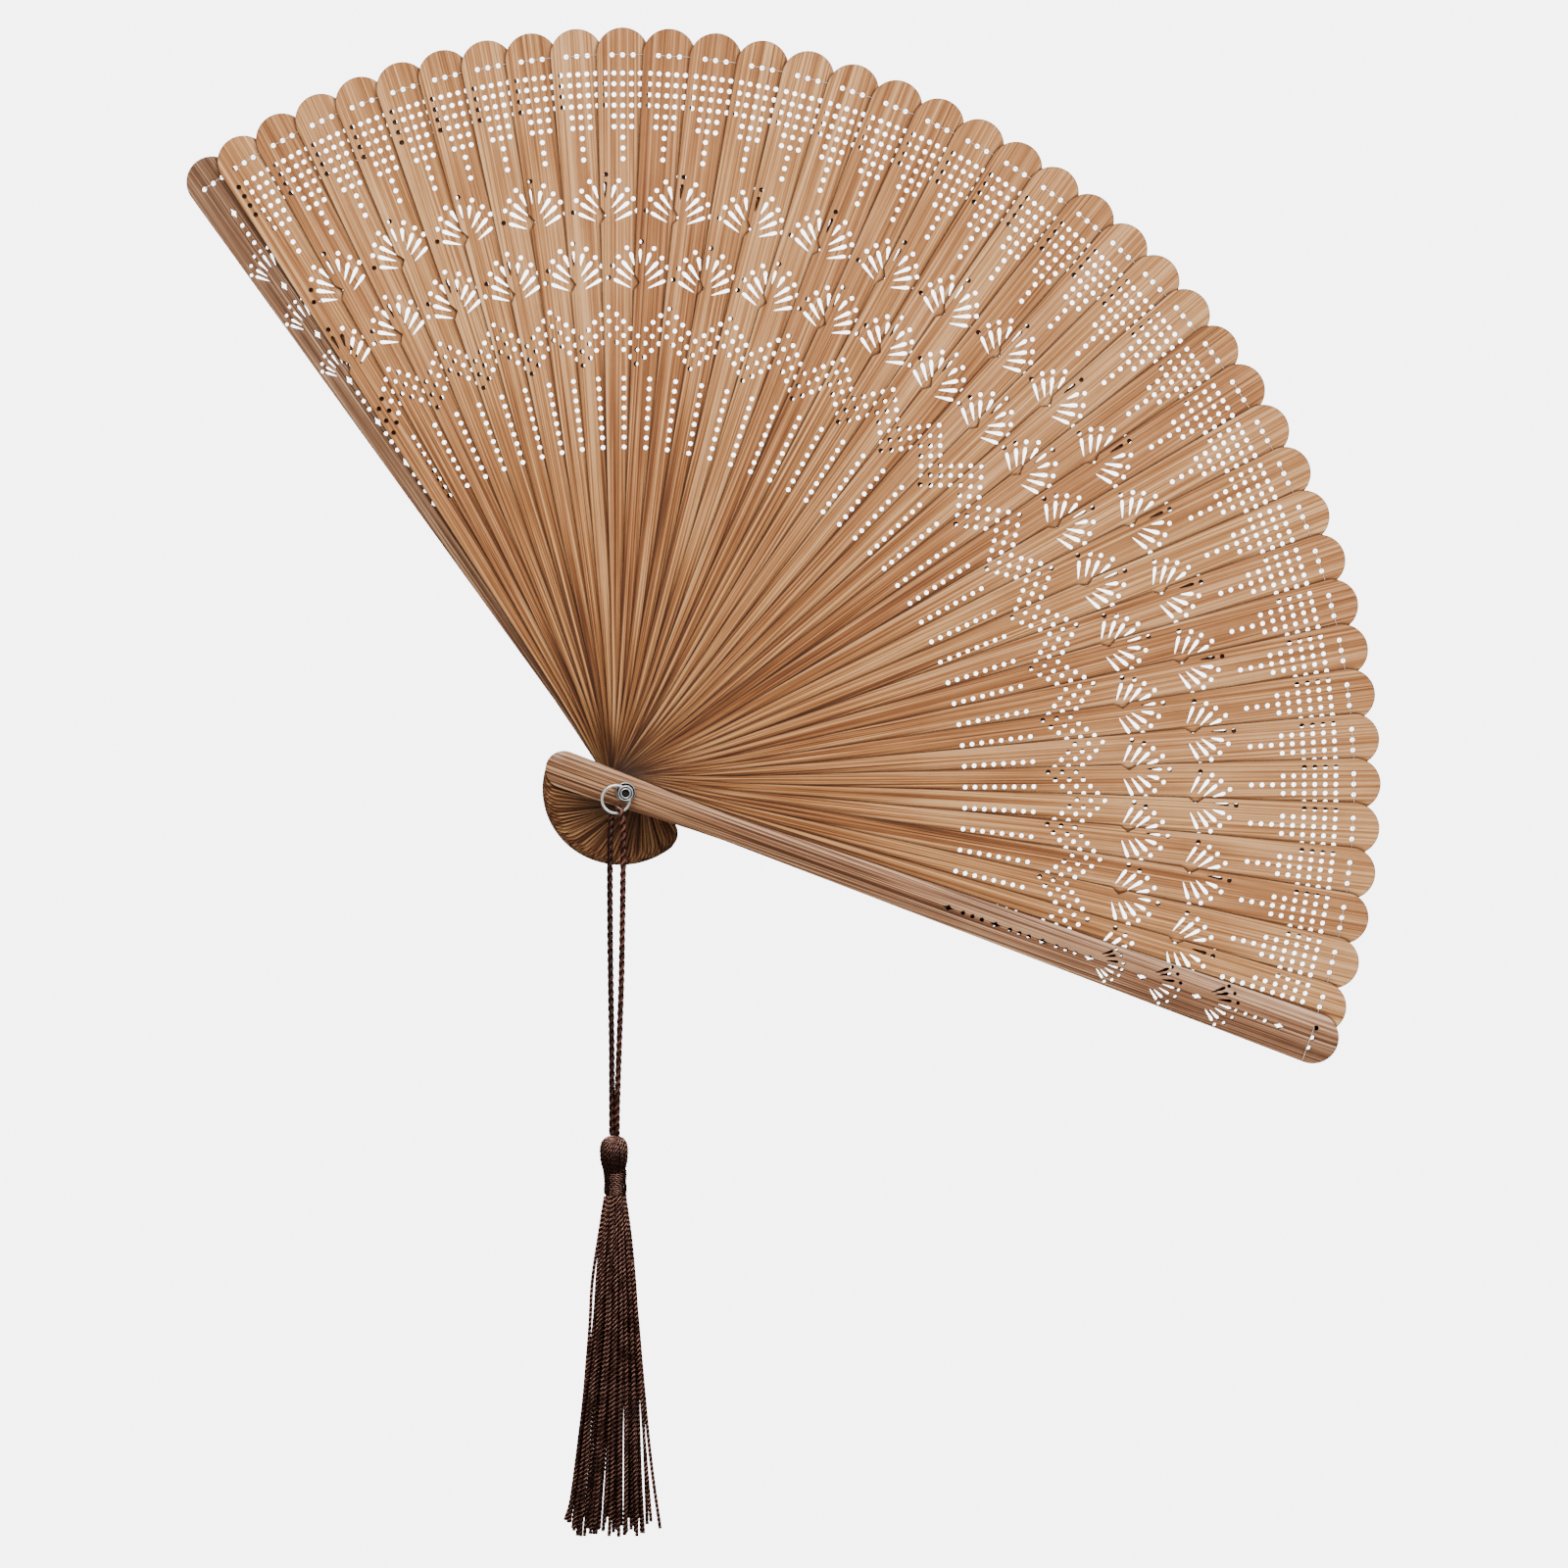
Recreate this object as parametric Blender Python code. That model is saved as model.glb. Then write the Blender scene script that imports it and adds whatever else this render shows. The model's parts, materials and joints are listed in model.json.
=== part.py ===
"""Folding brise fan: forty thin wooden leaves between two guards, all turning on one rivet,
with a steel ring, a doubled cord and a tassel hanging from the rivet's head.

Metres, +Z up. The fan stands open and upright in the XZ plane. The rivet's axis is the Y axis
and the origin is on it, half way through the stack. -Y is the front: the front guard is nearest
to it, and the back guard is furthest from it.
"""

import bmesh
import bpy
from math import cos, pi, radians, sin
from mathutils import Matrix, Vector

# The fan, open. Angles are in degrees from +X towards +Z.
LEAF_COUNT = 40
BACK_GUARD_ANGLE = 124.3
FRONT_GUARD_ANGLE = -20.0
FIRST_LEAF_ANGLE = 121.35
LEAF_STEP = 3.525
STEP_GROWTH = 0.0013
SPREAD_RIPPLE = 0.29
RIPPLE_LEAVES = 15.2

# Blades: lengths from the rivet's axis, half widths across the blade.
PIVOT_TO_TIP = 0.1895
PIVOT_TO_FRONT_GUARD_TIP = 0.1901
LEAF_TAIL = 0.0208
LEAF_TIP_HALF = 0.0066
LEAF_WAIST_HALF = 0.0032
LEAF_TAIL_HALF = 0.0043
GUARD_TAIL = 0.0209
GUARD_TIP_HALF = 0.0065
GUARD_WAIST_HALF = 0.00325
GUARD_TAIL_HALF = 0.0046
WAIST_AT = 0.027

# The stack, along Y.
LEAF_THICKNESS = 0.00055
LEAF_GAP = 0.00012
GUARD_THICKNESS = 0.0020
GUARD_EDGE = 0.0011
GUARD_SHOULDER = 0.0011

# The rivet: a turned pin with a slotted head in front and a cap pressed on behind.
BORE_RADIUS = 0.0016
PIN_RADIUS = 0.0013
WASHER_RADIUS = 0.00245
WASHER_THICKNESS = 0.0004
STACK_GAP = 0.0001
HEAD_RADIUS = 0.0019
HEAD_LENGTH = 0.0024
HEAD_STEP_RADIUS = 0.00135
HEAD_STEP_LENGTH = 0.0004
RECESS_RADIUS = 0.0010
RECESS_DEPTH = 0.0005
CAP_THICKNESS = 0.0010
CAP_SOCKET_RADIUS = 0.00145
CAP_SOCKET_DEPTH = 0.0006

# The ring, threaded through the slot across the rivet's head.
RING_RADIUS = 0.00345
RING_WIRE = 0.000325
RING_CENTRE = (-0.00245, -0.0016)
RING_STANDOFF = 0.00175
SLOT_WIDTH = 0.0015
SLOT_HEIGHT = 0.00095

# The cord and the tassel.
CORD_DIAMETER = 0.00115
TASSEL_TOP = -0.0859
TASSEL_X = -0.0032
TASSEL_HEAD_RADIUS = 0.0035
TASSEL_HEAD_BOTTOM = -0.0953
BINDING_RADIUS = 0.00275
BINDING_BOTTOM = -0.1010
SKIRT_BOTTOM = -0.1870
JOIN_GAP = 0.0003

# Worked out from the above.
LEAF_PITCH = LEAF_THICKNESS + LEAF_GAP
LEAVES_HALF = ((LEAF_COUNT - 1) * LEAF_PITCH + LEAF_THICKNESS) / 2
GUARD_INNER = LEAVES_HALF + LEAF_GAP
STACK_HALF = GUARD_INNER + GUARD_THICKNESS
RING_PLANE = -(STACK_HALF + RING_STANDOFF)

GUARD_COLOUR = (0.36, 0.19, 0.105)
LEAF_COLOUR = (0.50, 0.30, 0.165)
STEEL_COLOUR = (0.78, 0.77, 0.75)
CORD_COLOUR = (0.070, 0.022, 0.014)
TASSEL_COLOUR = (0.055, 0.022, 0.012)


def clear_objects():
    for thing in list(bpy.data.objects):
        bpy.data.objects.remove(thing)


def material(name, colour, roughness, metallic=0.0):
    made = bpy.data.materials.new(name)
    made.use_nodes = True
    shader = made.node_tree.nodes["Principled BSDF"]
    shader.inputs["Base Color"].default_value = (*colour, 1.0)
    shader.inputs["Roughness"].default_value = roughness
    shader.inputs["Metallic"].default_value = metallic
    return made


def add_object(name, data, finish):
    thing = bpy.data.objects.new(name, data)
    data.materials.append(finish)
    bpy.context.scene.collection.objects.link(thing)
    return thing


def mesh_from(bm, name, sharp=35.0):
    """The bmesh as a mesh with its faces pointing out, smooth but for its sharp edges."""
    bmesh.ops.recalc_face_normals(bm, faces=bm.faces)
    mesh = bpy.data.meshes.new(name)
    bm.to_mesh(mesh)
    bm.free()
    mesh.shade_smooth()
    mesh.set_sharp_from_angle(angle=radians(sharp))
    return mesh


def add_ring(bm, points):
    return [bm.verts.new(point) for point in points]


def join_rings(bm, first, second):
    """Quads between two rings with the same number of points."""
    count = len(first)
    for i in range(count):
        j = (i + 1) % count
        bm.faces.new((first[i], first[j], second[j], second[i]))


def ring_edges(bm, ring):
    return [bm.edges.get((ring[i - 1], ring[i])) for i in range(len(ring))]


# Blades: local Z runs from the rivet to the tip, local X across, local Y through the thickness.


def blade_outline(tip_at, tip_half, waist_half, tail_at, tail_half):
    """The blade's outline as (across, along) points: a round tip, a straight taper down to the
    waist, a swelling to the tail, and the tail's round end."""
    tip_steps, swell_steps, tail_steps = 6, 3, 4
    tip_centre = tip_at - tip_half
    tail_centre = tail_half - tail_at
    side = []
    for i in range(tip_steps + 1):
        turn = radians(90.0) * (1 - i / tip_steps)
        side.append((tip_half * cos(turn), tip_centre + tip_half * sin(turn)))
    for i in range(swell_steps):
        share = i / swell_steps
        ease = share * share * (3 - 2 * share)
        across = waist_half + (tail_half - waist_half) * ease
        side.append((across, WAIST_AT + (tail_centre - WAIST_AT) * share))
    for i in range(tail_steps + 1):
        turn = radians(-90.0) * i / tail_steps
        side.append((tail_half * cos(turn), tail_centre + tail_half * sin(turn)))
    side[0] = (0.0, side[0][1])
    side[-1] = (0.0, side[-1][1])
    other_side = [(-across, along) for across, along in reversed(side[1:-1])]
    return side + other_side


def blade_mesh(name, levels):
    """A bored blade through the outlines in levels, each an (outline, y) pair."""
    bore_sides = 8
    bm = bmesh.new()
    rings = []
    for outline, y in levels:
        rings.append(add_ring(bm, [(across, y, along) for across, along in outline]))
    for lower, upper in zip(rings, rings[1:]):
        join_rings(bm, lower, upper)
    bores = []
    for y in (levels[0][1], levels[-1][1]):
        turns = [2 * pi * (i + 0.5) / bore_sides for i in range(bore_sides)]
        circle = [(BORE_RADIUS * cos(turn), y, BORE_RADIUS * sin(turn)) for turn in turns]
        bores.append(add_ring(bm, circle))
    join_rings(bm, bores[0], bores[1])
    for ring, bore in ((rings[0], bores[0]), (rings[-1], bores[1])):
        edges = ring_edges(bm, ring) + ring_edges(bm, bore)
        bmesh.ops.triangle_fill(bm, edges=edges, use_beauty=True)
    return mesh_from(bm, name)


def place_blade(blade, angle, y):
    """Stands the blade's origin on the rivet's axis, with its tip towards angle."""
    blade.location = (0, y, 0)
    blade.rotation_euler = (0, radians(90.0 - angle), 0)


def leaf_angle(number):
    """Nearly even steps, as a hand spreads them: they widen a little towards the front, and a
    slow ripple bunches some of the leaves."""
    steps = number - 1
    ripple = SPREAD_RIPPLE * (1 - cos(2 * pi * steps / RIPPLE_LEAVES))
    return FIRST_LEAF_ANGLE - steps * (LEAF_STEP + STEP_GROWTH * steps) + ripple


def leaf_y(number):
    return LEAVES_HALF - LEAF_THICKNESS / 2 - (number - 1) * LEAF_PITCH


def add_leaves():
    outline = blade_outline(
        PIVOT_TO_TIP, LEAF_TIP_HALF, LEAF_WAIST_HALF, LEAF_TAIL, LEAF_TAIL_HALF
    )
    half = LEAF_THICKNESS / 2
    for number in range(1, LEAF_COUNT + 1):
        name = f"leaf_{number:02d}"
        mesh = blade_mesh(name, [(outline, -half), (outline, half)])
        leaf = add_object(name, mesh, material(name + "_wood", LEAF_COLOUR, 0.55))
        place_blade(leaf, leaf_angle(number), leaf_y(number))


def add_guard(name, angle, side, tip_at):
    """A guard with a flat inner face and a raised flat band outside. side is -1 in front."""
    outline = blade_outline(
        tip_at, GUARD_TIP_HALF, GUARD_WAIST_HALF, GUARD_TAIL, GUARD_TAIL_HALF
    )
    band = blade_outline(
        tip_at - GUARD_SHOULDER,
        GUARD_TIP_HALF - GUARD_SHOULDER,
        GUARD_WAIST_HALF - GUARD_SHOULDER,
        GUARD_TAIL - GUARD_SHOULDER,
        GUARD_TAIL_HALF - GUARD_SHOULDER,
    )
    levels = [(outline, 0.0), (outline, side * GUARD_EDGE), (band, side * GUARD_THICKNESS)]
    mesh = blade_mesh(name, levels)
    guard = add_object(name, mesh, material(name + "_wood", GUARD_COLOUR, 0.45))
    place_blade(guard, angle, side * GUARD_INNER)


# Turned pieces.


def turned_mesh(name, profile, sides, axis):
    """A closed solid turned about axis ("Y" or "Z") through (radius, along) points. A point
    of no radius closes an end."""
    bm = bmesh.new()
    rings = []
    for radius, along in profile:
        if radius == 0.0:
            point = (0, along, 0) if axis == "Y" else (0, 0, along)
            rings.append([bm.verts.new(point)])
            continue
        circle = []
        for i in range(sides):
            turn = 2 * pi * i / sides
            flat = (radius * cos(turn), radius * sin(turn))
            point = (flat[0], along, flat[1]) if axis == "Y" else (*flat, along)
            circle.append(point)
        rings.append(add_ring(bm, circle))
    for first, second in zip(rings, rings[1:]):
        if len(first) > 1 and len(second) > 1:
            join_rings(bm, first, second)
            continue
        tip, rim = (first[0], second) if len(first) == 1 else (second[0], first)
        for i in range(sides):
            bm.faces.new((tip, rim[i], rim[(i + 1) % sides]))
    return mesh_from(bm, name)


def tube_mesh(name, inner, outer, near, far, sides):
    """A flat ring about Y, from near to far, with a bore."""
    bm = bmesh.new()
    rings = []
    for radius, along in ((inner, near), (outer, near), (outer, far), (inner, far)):
        turns = [2 * pi * i / sides for i in range(sides)]
        circle = [(radius * cos(turn), along, radius * sin(turn)) for turn in turns]
        rings.append(add_ring(bm, circle))
    for i in range(len(rings)):
        join_rings(bm, rings[i - 1], rings[i])
    return mesh_from(bm, name)


def add_rivet():
    """The pin and its slotted head in one piece, the cap at its back end, and two washers."""
    sides = 16
    steel = ("steel", STEEL_COLOUR, 0.25, 1.0)
    washer_in = STACK_HALF + STACK_GAP
    washer_out = washer_in + WASHER_THICKNESS
    head_in = -(washer_out + STACK_GAP)
    head_out = head_in - HEAD_LENGTH
    step_out = head_out - HEAD_STEP_LENGTH
    cap_in = washer_out + STACK_GAP
    cap_out = cap_in + CAP_THICKNESS
    pin_end = cap_in + CAP_SOCKET_DEPTH - STACK_GAP
    profile = [
        (0.0, pin_end),
        (PIN_RADIUS, pin_end),
        (PIN_RADIUS, head_in),
        (HEAD_RADIUS, head_in),
        (HEAD_RADIUS, head_out),
        (HEAD_STEP_RADIUS, head_out),
        (HEAD_STEP_RADIUS, step_out),
        (RECESS_RADIUS, step_out),
        (RECESS_RADIUS, step_out + RECESS_DEPTH),
        (0.0, step_out + RECESS_DEPTH),
    ]
    pin = add_object("rivet_pin", turned_mesh("rivet_pin", profile, sides, "Y"), material(*steel))
    cut_ring_slot(pin)

    cap_profile = [
        (0.0, cap_in + CAP_SOCKET_DEPTH),
        (CAP_SOCKET_RADIUS, cap_in + CAP_SOCKET_DEPTH),
        (CAP_SOCKET_RADIUS, cap_in),
        (HEAD_RADIUS, cap_in),
        (HEAD_RADIUS, cap_out),
        (0.0, cap_out),
    ]
    add_object("rivet_cap", turned_mesh("rivet_cap", cap_profile, sides, "Y"), material(*steel))
    for name, near, far in (
        ("front_washer", -washer_in, -washer_out),
        ("back_washer", washer_in, washer_out),
    ):
        mesh = tube_mesh(name, BORE_RADIUS, WASHER_RADIUS, near, far, sides)
        add_object(name, mesh, material(*steel))


def cut_ring_slot(pin):
    """Cuts the slot for the ring's wire, straight across the head and square to the line from
    the rivet's axis to the ring's centre."""
    centre = Vector((RING_CENTRE[0], 0, RING_CENTRE[1]))
    inwards = centre.normalized()
    beyond_axis = RING_RADIUS - centre.length
    rise_in_head = RING_RADIUS - (RING_RADIUS**2 - HEAD_RADIUS**2) ** 0.5
    slot_offset = beyond_axis - rise_in_head / 2
    bm = bmesh.new()
    bmesh.ops.create_cube(bm, size=1.0)
    bmesh.ops.scale(bm, vec=(4 * HEAD_RADIUS, SLOT_HEIGHT, SLOT_WIDTH), verts=bm.verts)
    guide = material("cutter", (1, 0, 0), 0.5)
    cutter = add_object("ring_slot_cutter", mesh_from(bm, "ring_slot_cutter"), guide)
    cutter.location = (-slot_offset * inwards.x, RING_PLANE, -slot_offset * inwards.z)
    cutter.rotation_euler = Vector((0, 0, 1)).rotation_difference(inwards).to_euler()
    cutter.hide_render = True
    cutter.display_type = "WIRE"
    cut = pin.modifiers.new("ring_slot", "BOOLEAN")
    cut.operation = "DIFFERENCE"
    cut.object = cutter


def add_hanging_ring():
    around, sides = 28, 8
    bm = bmesh.new()
    rings = []
    for i in range(around):
        turn = 2 * pi * i / around
        circle = []
        for j in range(sides):
            lean = 2 * pi * j / sides
            reach = RING_RADIUS + RING_WIRE * cos(lean)
            circle.append((reach * cos(turn), RING_WIRE * sin(lean), reach * sin(turn)))
        rings.append(add_ring(bm, circle))
    for i in range(around):
        join_rings(bm, rings[i - 1], rings[i])
    mesh = mesh_from(bm, "hanging_ring", sharp=60.0)
    # The ring turns with the rivet, so its origin is on the rivet's axis.
    mesh.transform(Matrix.Translation((RING_CENTRE[0], 0, RING_CENTRE[1])))
    ring = add_object("hanging_ring", mesh, material("ring_steel", STEEL_COLOUR, 0.2, 1.0))
    ring.location = (0, RING_PLANE, 0)


# The cord: up from the tassel's head, over the ring's lowest point and down again.

CORD_ROUTE = (
    (-0.0037, 0.00020, -0.0860),
    (-0.0037, 0.00045, -0.0767),
    (-0.0037, 0.00075, -0.0625),
    (-0.0039, 0.00090, -0.0464),
    (-0.0040, 0.00095, -0.0313),
    (-0.0040, 0.00095, -0.0202),
    (-0.0039, 0.00095, -0.0126),
    (-0.0037, 0.00095, -0.0081),
    (-0.0034, 0.00093, -0.0055),
    (-0.0029, 0.00065, -0.0041),
    (-0.0022, 0.00000, -0.0035),
    (-0.0014, -0.00065, -0.0041),
    (-0.0009, -0.00093, -0.0055),
    (-0.0007, -0.00095, -0.0081),
    (-0.0006, -0.00095, -0.0126),
    (-0.0007, -0.00095, -0.0202),
    (-0.0009, -0.00095, -0.0313),
    (-0.0012, -0.00090, -0.0464),
    (-0.0018, -0.00075, -0.0625),
    (-0.0023, -0.00045, -0.0767),
    (-0.0025, -0.00020, -0.0860),
)


def smooth_route(points, steps):
    """Points on a smooth curve through the route's points, steps to each stretch."""
    route = [Vector(point) for point in points]
    padded = [2 * route[0] - route[1], *route, 2 * route[-1] - route[-2]]
    smooth = []
    for i in range(len(route) - 1):
        before, start, end, after = padded[i : i + 4]
        for step in range(steps):
            t = step / steps
            smooth.append(
                0.5
                * (
                    2 * start
                    + (end - before) * t
                    + (2 * before - 5 * start + 4 * end - after) * t * t
                    + (3 * start - before - 3 * end + after) * t * t * t
                )
            )
    smooth.append(route[-1])
    return smooth


def add_cord():
    points = smooth_route(CORD_ROUTE, 3)
    curve = bpy.data.curves.new("hanging_cord", "CURVE")
    curve.dimensions = "3D"
    curve.bevel_depth = CORD_DIAMETER / 2
    curve.bevel_resolution = 2
    curve.use_fill_caps = True
    spline = curve.splines.new("POLY")
    spline.points.add(len(points) - 1)
    for place, point in zip(spline.points, points):
        place.co = (*point, 1.0)
    cord = add_object("hanging_cord", curve, material("cord_brown", CORD_COLOUR, 0.7))
    cord.location = (0, RING_PLANE, 0)


# The tassel: a round head of wound thread, its binding, and the skirt of loose threads.


def add_tassel():
    sides = 14
    head_centre = TASSEL_TOP - JOIN_GAP - TASSEL_HEAD_RADIUS
    top = head_centre + TASSEL_HEAD_RADIUS
    # The crown is part of the sphere about the sway axis, so it clears the cord's end as it sways.
    profile = [
        (0.0, top),
        (0.0015, top - 0.00034),
        (0.0025, top - 0.00105),
        (0.0033, top - 0.0017),
        (0.0036, top - 0.0030),
        (0.0036, top - 0.0048),
        (0.0032, top - 0.0066),
    ]
    neck = (BINDING_RADIUS, TASSEL_HEAD_BOTTOM + JOIN_GAP)
    profile += [neck, (0.0, neck[1])]
    head = turned_mesh("tassel_head", profile, sides, "Z")

    binding = turned_mesh(
        "tassel_binding",
        [
            (0.0, TASSEL_HEAD_BOTTOM),
            (BINDING_RADIUS * 0.94, TASSEL_HEAD_BOTTOM),
            (BINDING_RADIUS, (TASSEL_HEAD_BOTTOM + BINDING_BOTTOM) / 2),
            (BINDING_RADIUS * 0.94, BINDING_BOTTOM),
            (0.0, BINDING_BOTTOM),
        ],
        sides,
        "Z",
    )
    for name, mesh in (
        ("tassel_head", head),
        ("tassel_binding", binding),
        ("tassel_skirt", skirt_mesh(sides)),
    ):
        # Every tassel piece turns about the centre of the round head.
        mesh.transform(Matrix.Translation((0, 0, -head_centre)))
        piece = add_object(name, mesh, material(name + "_thread", TASSEL_COLOUR, 0.6))
        piece.location = (TASSEL_X, RING_PLANE, head_centre)


def skirt_mesh(sides):
    """The skirt's outer shape: ovals (z, half width, half depth, centre's x from the tassel's
    axis), wider and leaning a little to -X towards the bottom."""
    top = BINDING_BOTTOM - JOIN_GAP
    ovals = (
        (top, 0.0026, 0.0025, 0.0005),
        (-0.1118, 0.0038, 0.0035, 0.0003),
        (-0.1225, 0.0048, 0.0043, 0.0002),
        (-0.1438, 0.0065, 0.0054, -0.0003),
        (-0.1720, 0.0087, 0.0064, -0.0015),
        (SKIRT_BOTTOM, 0.0098, 0.0068, -0.0022),
    )
    bm = bmesh.new()
    rings = []
    for z, half_width, half_depth, x in ovals:
        turns = [2 * pi * i / sides for i in range(sides)]
        oval = [(x + half_width * cos(turn), half_depth * sin(turn), z) for turn in turns]
        rings.append(add_ring(bm, oval))
    for first, second in zip(rings, rings[1:]):
        join_rings(bm, first, second)
    bm.faces.new(rings[0])
    bm.faces.new(rings[-1])
    return mesh_from(bm, "tassel_skirt")


clear_objects()
add_guard("back_guard", BACK_GUARD_ANGLE, 1, PIVOT_TO_TIP)
add_leaves()
add_guard("front_guard", FRONT_GUARD_ANGLE, -1, PIVOT_TO_FRONT_GUARD_TIP)
add_rivet()
add_hanging_ring()
add_cord()
add_tassel()
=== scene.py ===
"""The visual model of the folding fan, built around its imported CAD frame.

Metres, +Z up. The fan stands open in the XZ plane with its rivet along Y, and -Y is the front.
A blade is modelled flat, in its own plane: x across it and z along it from the rivet's axis,
with its front at -y, and is then turned to its place round the rivet.
"""

import json
import math
import random

import bmesh
import bpy
import numpy as np
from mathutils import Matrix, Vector, geometry


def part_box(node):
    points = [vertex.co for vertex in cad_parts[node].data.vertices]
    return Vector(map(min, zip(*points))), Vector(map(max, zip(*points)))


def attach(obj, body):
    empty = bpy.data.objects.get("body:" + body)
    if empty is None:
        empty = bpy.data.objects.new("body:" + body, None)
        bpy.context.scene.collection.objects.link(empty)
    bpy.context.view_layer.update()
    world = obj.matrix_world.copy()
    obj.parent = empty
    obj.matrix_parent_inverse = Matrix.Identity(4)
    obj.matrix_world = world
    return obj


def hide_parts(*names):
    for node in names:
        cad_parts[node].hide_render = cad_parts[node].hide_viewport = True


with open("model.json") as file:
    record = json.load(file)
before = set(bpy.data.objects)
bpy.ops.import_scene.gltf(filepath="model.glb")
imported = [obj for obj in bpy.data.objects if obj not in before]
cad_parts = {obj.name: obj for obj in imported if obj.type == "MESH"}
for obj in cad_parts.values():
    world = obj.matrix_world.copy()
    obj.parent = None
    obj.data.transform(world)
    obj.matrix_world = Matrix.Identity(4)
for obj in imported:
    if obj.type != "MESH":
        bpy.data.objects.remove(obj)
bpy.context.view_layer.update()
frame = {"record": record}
MM = 0.001
FULL_TURN = 2 * math.pi
QUARTER_TURN = math.pi / 2

# ---- objects and meshes


def add_to_scene(name, data, finish=None):
    made = bpy.data.objects.new(name, data)
    if finish:
        data.materials.append(finish)
    bpy.context.scene.collection.objects.link(made)
    return made


def add_piece(name, mesh, finish, body, node=None, angle=90.0, y=0.0, stretch=1.0):
    """A visible piece that rides on a body and stands for a CAD node, if it has one. A blade's
    is turned from upright to its angle round the rivet."""
    mesh.name = name
    piece = add_to_scene(name, mesh, finish)
    piece.location = (0.0, y, 0.0)
    piece.rotation_euler = (0.0, math.radians(90.0 - angle), 0.0)
    piece.scale = (1.0, 1.0, stretch)
    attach(piece, body)
    if node:
        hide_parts(node)
    return piece


def solid_mesh(name, points, faces):
    """A closed mesh whose faces all look outwards."""
    mesh = bpy.data.meshes.new(name)
    mesh.from_pydata(points, [], faces)
    bm = bmesh.new()
    bm.from_mesh(mesh)
    bmesh.ops.recalc_face_normals(bm, faces=bm.faces)
    bm.to_mesh(mesh)
    bm.free()
    return mesh


def smooth_between_edges(mesh, degrees):
    mesh.shade_smooth()
    mesh.set_sharp_from_angle(angle=math.radians(degrees))


def mesh_points(mesh):
    points = np.empty(len(mesh.vertices) * 3, dtype=np.float32)
    mesh.vertices.foreach_get("co", points)
    return points.reshape(-1, 3)


def set_values(mesh, name, values):
    """A number at each point, which the material reads by this name."""
    layer = mesh.attributes.get(name) or mesh.attributes.new(name, "FLOAT", "POINT")
    layer.data.foreach_set("value", np.array(values, dtype=np.float32))


def map_grain(mesh, places):
    """The map that the grain follows, in millimetres, from a place for each point."""
    corners = np.empty(len(mesh.loops), dtype=np.int32)
    mesh.loops.foreach_get("vertex_index", corners)
    layer = mesh.uv_layers.get("grain") or mesh.uv_layers.new(name="grain")
    layer.data.foreach_set("uv", np.array(places, dtype=np.float32)[corners].ravel())


def turned(profile, sides, centre=(0.0, 0.0, 0.0), upright=False):
    """The points, faces and marks of a profile of (radius, height, mark) turned about Y, or Z
    if upright. A profile that ends where it starts makes a ring."""
    looped = profile[0] == profile[-1]
    rows = profile[:-1] if looped else profile
    points, marks, starts, faces = [], [], [], []
    for radius, height, mark in rows:
        starts.append(len(points))
        for i in range(sides if radius else 1):
            turn = FULL_TURN * i / sides
            out, over = radius * math.cos(turn), radius * math.sin(turn)
            reach = (out, over, height) if upright else (out, height, over)
            points.append(tuple(c + r for c, r in zip(centre, reach)))
            marks.append(mark)
    for row in range(len(rows) if looped else len(rows) - 1):
        after = (row + 1) % len(rows)
        one, two = starts[row], starts[after]
        for i in range(sides):
            j = (i + 1) % sides
            if not rows[row][0]:
                faces.append((one, two + i, two + j))
            elif not rows[after][0]:
                faces.append((one + i, two, one + j))
            else:
                faces.append((one + i, two + i, two + j, one + j))
    return points, faces, marks


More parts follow.
